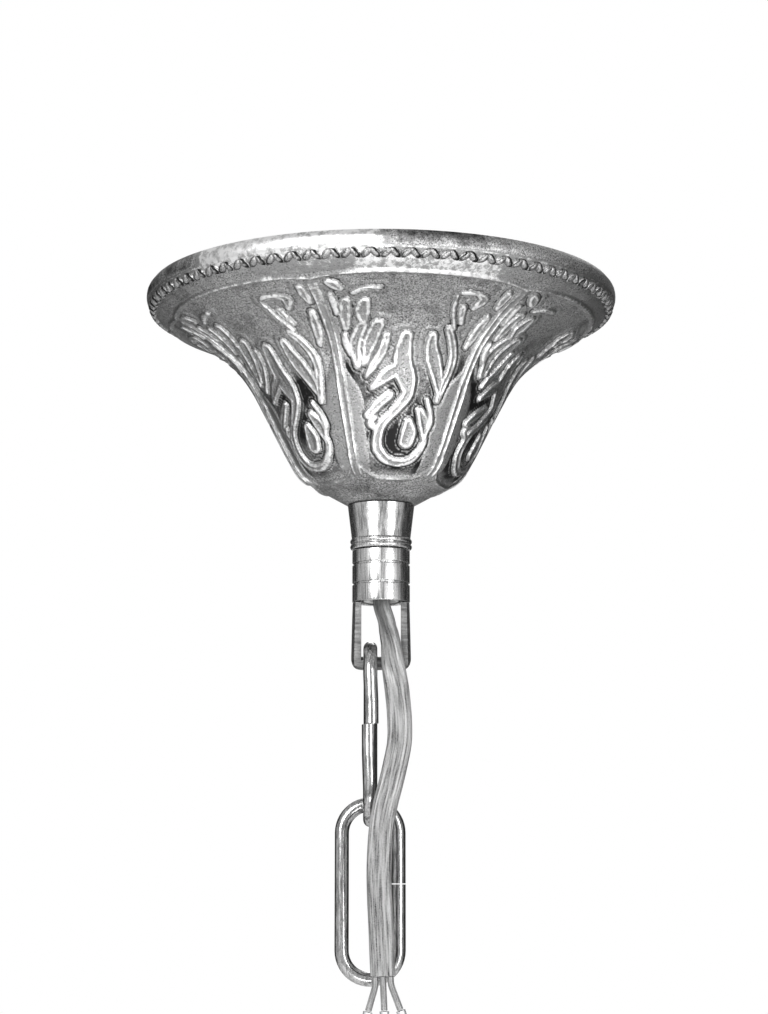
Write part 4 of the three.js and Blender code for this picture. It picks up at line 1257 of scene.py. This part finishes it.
# %% Turn outlines into solids
TURNED_COLUMNS = 120
ARC_POINTS = 4


def rounded(outline, radius):
    """A closed outline in millimetres with each corner cut back to a small arc."""
    outline = np.array(outline, float)
    result = []
    for before, corner, after in zip(np.roll(outline, 1, 0), outline, np.roll(outline, -1, 0)):
        back, onward = before - corner, after - corner
        reach = min(radius, 0.4 * np.linalg.norm(back), 0.4 * np.linalg.norm(onward))
        start, end = corner + unit(back) * reach, corner + unit(onward) * reach
        for share in np.linspace(0, 1, ARC_POINTS):
            near, far = start + (corner - start) * share, corner + (end - corner) * share
            result.append(near + (far - near) * share)
    return result


def turned(name, outline, round_by):
    """A plated piece carried round the Z axis from a closed outline of (radius, height)."""
    rows = [ring_at(*place, TURNED_COLUMNS) for place in rounded(outline, round_by)]
    faces = grid_faces(len(rows), TURNED_COLUMNS, closed=True)
    return make_piece(name, np.vstack(rows), faces, collar_plate, sharp=50)


SLEEVE_TOP = -60.7
SLEEVE_FOOT = -72.9
SLEEVE_TOP_RADIUS = 9.1
SLEEVE_FOOT_RADIUS = 8.1
RING_HEIGHT = 1.5
RING_PROUD = 0.35
RING_SEAM = 0.1
RING_ARC = 0.96 * RING_HEIGHT
sleeve_outline = [(HOLE_RADIUS, SLEEVE_TOP), (SLEEVE_TOP_RADIUS, SLEEVE_TOP)]
for ring in (2, 1):
    top = SLEEVE_FOOT + ring * RING_HEIGHT
    for drop in np.linspace(0, 1, 7):
        bulge = RING_PROUD * math.sin(math.pi * drop) - RING_SEAM * (drop in (0, 1))
        sleeve_outline.append((SLEEVE_FOOT_RADIUS + bulge, top - drop * RING_ARC))
sleeve_outline.append((HOLE_RADIUS, SLEEVE_FOOT))
sleeve = turned("sleeve_turned", sleeve_outline, round_by=0.08)
dress(sleeve, "collar", "collar_chrome", "collar_sleeve")

BARREL_TOP = -73.2
BARREL_FOOT = -87.3
BARREL_RADIUS = 7.85
BARREL_BORE = 6.8
BARREL_FLANGE = 2.2
GROOVE_DROPS = (3.4, 8.8)
GROOVE_WIDTH = 0.7
GROOVE_SLOPE = 0.1
GROOVE_RADIUS = BARREL_RADIUS - 0.45
LIP_WIDTH = 0.3
LIP_HEIGHT = 0.6
barrel_outline = [(HOLE_RADIUS, BARREL_TOP), (BARREL_RADIUS, BARREL_TOP)]
for drop in GROOVE_DROPS:
    top = BARREL_TOP - drop
    bottom = top - GROOVE_WIDTH
    barrel_outline += [(BARREL_RADIUS, top), (GROOVE_RADIUS, top - GROOVE_SLOPE)]
    barrel_outline += [(GROOVE_RADIUS, bottom + GROOVE_SLOPE), (BARREL_RADIUS, bottom)]
barrel_outline += [
    (BARREL_RADIUS, BARREL_FOOT),
    (BARREL_BORE + LIP_WIDTH, BARREL_FOOT),
    (BARREL_BORE, BARREL_FOOT + LIP_HEIGHT),
    (BARREL_BORE, BARREL_TOP - BARREL_FLANGE),
    (HOLE_RADIUS, BARREL_TOP - BARREL_FLANGE),
]
barrel = turned("barrel_turned", barrel_outline, round_by=0.15)
dress(barrel, "collar", "collar_chrome", "collar_barrel")
print("sleeve and barrel turned")

# %% [markdown]
# ## The chain
#
# A chain link is one length of wire bent into an oval, with its ends butted on a long side. In the
# picture both ends have sprung a little sideways, so the joint shows as a step. A squashed torus
# would have no such joint. Geometry Nodes carry a circle along a line and close its ends, so one
# tree makes both links from two lines.

# %% Build the link tree
WIRE_DIAMETER = 3.8
LINK_LENGTH = 50
LINK_WIDTH = 19
LINK_X = -2.9
LINK_1_MIDDLE = -123.0
LINK_2_MIDDLE = -165.1
JOINT_GAP = 0.3
JOINT_OFFSET = 0.35
JOINT_RISE = 2
SPRUNG_OFFSET = 0.9 * JOINT_OFFSET
SPRUNG_BELOW = -6
SPRUNG_ABOVE = 8
BOW_POINTS = 25
WIRE_ROUND = 24


def link_line():
    """The wire's middle line in the YZ plane, from one side of the joint to the other."""
    bow = (LINK_WIDTH - WIRE_DIAMETER) / 2
    straight = (LINK_LENGTH - WIRE_DIAMETER) / 2 - bow
    below, above = JOINT_RISE - JOINT_GAP / 2, JOINT_RISE + JOINT_GAP / 2
    line = [(-JOINT_OFFSET, -bow, below), (-SPRUNG_OFFSET, -bow, SPRUNG_BELOW)]
    for side in (-1, 1):
        for angle in np.linspace(0, math.pi, BOW_POINTS):
            rise = straight + bow * math.sin(angle)
            line.append((0, side * bow * math.cos(angle), side * rise))
    return [*line, (SPRUNG_OFFSET, -bow, SPRUNG_ABOVE), (JOINT_OFFSET, -bow, above)]


def link_tree():
    tree, given = new_tree("wire_link", {"Radius": WIRE_DIAMETER / 2 * MM, "Sides": WIRE_ROUND})
    line = add_node(tree, "GeometryNodeMeshToCurve", {"Mesh": given["Geometry"]})
    circle = {"Resolution": given["Sides"], "Radius": given["Radius"]}
    circle = add_node(tree, "GeometryNodeCurvePrimitiveCircle", circle)
    skin = {"Curve": line, "Profile Curve": circle, "Fill Caps": True}
    return finish_tree(tree, add_node(tree, "GeometryNodeCurveToMesh", skin), chain_plate)


def chain_link(name, middle, turned_by):
    """A link of wire round a line that is turned about Z by some degrees."""
    cos, sin = math.cos(math.radians(turned_by)), math.sin(math.radians(turned_by))
    points = [
        ((x * cos - y * sin + LINK_X) * MM, (x * sin + y * cos) * MM, (z + middle) * MM)
        for x, y, z in link_line()
    ]
    line = bpy.data.meshes.new(f"{name}_line")
    line.from_pydata(points, [(i, i + 1) for i in range(len(points) - 1)], [])
    piece = grown(name, wire_link, line)
    with edited(piece) as work:
        bmesh.ops.remove_doubles(work, verts=work.verts, dist=1e-7)
    piece.data.set_sharp_from_angle(angle=math.radians(50))
    return piece


wire_link = link_tree()
upper_link = chain_link("upper_chain_link", LINK_1_MIDDLE, 0)
lower_link = chain_link("lower_chain_link", LINK_2_MIDDLE, 90)
dress(upper_link, "upper_link", "chain_chrome", "link_1")
dress(lower_link, "lower_link", "chain_chrome", "link_2")
print("each link has", len(upper_link.data.polygons), "faces")

# %% [markdown]
# ## The yoke
#
# The yoke is a casting, so its edges are soft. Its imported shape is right, and only the edges are
# too sharp: a copy of it gets a narrow bevel. A node of the frame is never changed itself, so the
# copy stands for it.

# %% Soften the yoke
EDGE_WIDTH = 0.3
FLAT_WITHIN = math.radians(2)
EDGE_OVER = math.radians(30)
SORT_WAY = Vector((1, 2.3, 5.1))


def repainted(mesh, material):
    mesh.materials.clear()
    mesh.materials.append(material)


yoke = add_object("yoke_casting", nodes["yoke"].data.copy())
with edited(yoke) as work:
    bmesh.ops.remove_doubles(work, verts=work.verts, dist=1e-6)
    bmesh.ops.dissolve_limit(work, angle_limit=FLAT_WITHIN, verts=work.verts, edges=work.edges)
    folds = [edge for edge in work.edges if len(edge.link_faces) == 2]
    bmesh.ops.bevel(
        work, geom=[edge for edge in folds if edge.calc_face_angle() > EDGE_OVER],
        offset=EDGE_WIDTH * MM, segments=3, affect="EDGES", profile=0.5, clamp_overlap=True,
    )
    bmesh.ops.triangulate(work, faces=[face for face in work.faces if len(face.verts) > 4])
    # The bevel's order varies from run to run, so points and faces are sorted by their places.
    work.verts.sort(key=lambda vert: vert.co.dot(SORT_WAY))
    work.faces.sort(key=lambda face: face.calc_center_median().dot(SORT_WAY))
repainted(yoke.data, cast_metal)
yoke.data.set_sharp_from_angle(angle=math.radians(35))
dress(yoke, "collar", "cast_metal", "yoke")
print("the yoke has", len(yoke.data.polygons), "faces")

# %% [markdown]
# ## The hidden hardware
#
# The bracket, nuts, screws and terminal block are seen only from above, where the canopy is open.
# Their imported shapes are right, so they keep them and only get their finishes.

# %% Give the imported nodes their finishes
FINISH_OF_SLOT = {
    "zinc_steel": zinc_steel,
    "terminal_brass": brass,
    "block_plastic": block_plastic,
    "bush_plastic": bush_plastic,
}
for part in frame["record"]["subparts"]:
    if part["material_slot"] in FINISH_OF_SLOT:
        repainted(nodes[part["node"]].data, FINISH_OF_SLOT[part["material_slot"]])
print("finishes set on the hidden hardware")

# %% [markdown]
# ## The studio
#
# A pale floor, a white background and soft lamps. Chrome shows its surroundings more than itself,
# so photographers stand dark cards round it to give it contrast. Here two of them stand behind the
# object, where its rounded sides mirror them as dark edges. They are seen only in reflections, and
# shade nothing.

# %% Light the scene
FLOOR_HEIGHT = -0.42
FLOOR_TONE = 0.85
MIDDLE = (0, 0, -0.07)
CARD_AIM = Vector((0, 0, -0.05))


def pale_floor():
    finish = Finish("pale_floor", roughness=0.8, specular_ior_level=0.1)
    patches = finish.noise(60, detail=2).between(0.3, 0.7)
    tones = grey(FLOOR_TONE * 0.985), grey(FLOOR_TONE)
    finish.set("Base Color", finish.shade(patches, *tones))
    return finish.material


def turn_to(thing, centre, direction):
    """Places a thing so that its own Z axis points in a direction."""
    thing.location = centre
    thing.rotation_euler = Vector(direction).to_track_quat("Z", "Y").to_euler()


def flat_card(name, centre, normal, width, height, material):
    x, y = width / 2, height / 2
    corners = [(-x, -y, 0), (x, -y, 0), (x, y, 0), (-x, y, 0)]
    card = make_piece(name, corners, [(0, 1, 2, 3)], material)
    turn_to(card, centre, normal)
    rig.stage(card)
    return card


def dark_card(name, centre, width, height):
    card = flat_card(name, centre, CARD_AIM - Vector(centre), width, height, dark_felt)
    for rays in ("camera", "diffuse", "shadow", "transmission"):
        setattr(card, f"visible_{rays}", False)


def softbox(name, centre, width, height, power):
    lamp = bpy.data.lights.new(name, "AREA")
    lamp.shape = "RECTANGLE"
    lamp.size, lamp.size_y = width, height
    lamp.energy = power
    turn_to(add_object(name, lamp), centre, Vector(centre) - Vector(MIDDLE))


flat_card("floor", (0, 0, FLOOR_HEIGHT), (0, 0, 1), 6, 6, pale_floor())
dark_felt = Finish("dark_felt", base_color=grey(0.03), roughness=0.9).material
dark_card("card_left", (-0.39, 0.48, -0.05), 0.85, 0.7)
dark_card("card_right", (0.4, 0.32, -0.05), 1.05, 0.7)
softbox("key", (-0.4, -0.75, 0.2), 0.35, 0.5, 6.5)
softbox("fill", (0.55, -0.7, -0.1), 0.2, 0.6, 4)
softbox("under", (0.05, -0.5, -0.4), 0.3, 0.1, 1)
softbox("back", (0.2, 0.8, 0.3), 0.6, 0.4, 2)

# %% [markdown]
# The world lights softly. The camera and the clear pieces see it as white, and mirrors see it as
# light grey, so that the lamps stand out in the chrome.

# %% Set the world and the view
SOFT_LEVEL = 0.55
MIRROR_LEVEL = 0.6

world = bpy.data.worlds.new("studio")
bpy.context.scene.world = world
world.use_nodes = True
tree = world.node_tree
rays = tree.nodes.new("ShaderNodeLightPath").outputs
seen = Value(tree, rays["Is Camera Ray"]) + Value(tree, rays["Is Transmission Ray"])
seen = seen.clamped()
mirrored = Value(tree, rays["Is Glossy Ray"]) * (1 - seen)
level = SOFT_LEVEL + seen * (1 - SOFT_LEVEL) + mirrored * (MIRROR_LEVEL - SOFT_LEVEL)
background = tree.nodes["Background"].inputs
feed(tree, background["Strength"], level)
feed(tree, background["Color"], grey(1))
bpy.context.scene.view_settings.view_transform = "Standard"

# %% Measure and finish
with open("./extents.json", "w") as file:
    boxes = {"cad": cad_bounds, "visual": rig.bounds()}
    json.dump({name: [list(corner) for corner in box] for name, box in boxes.items()}, file)
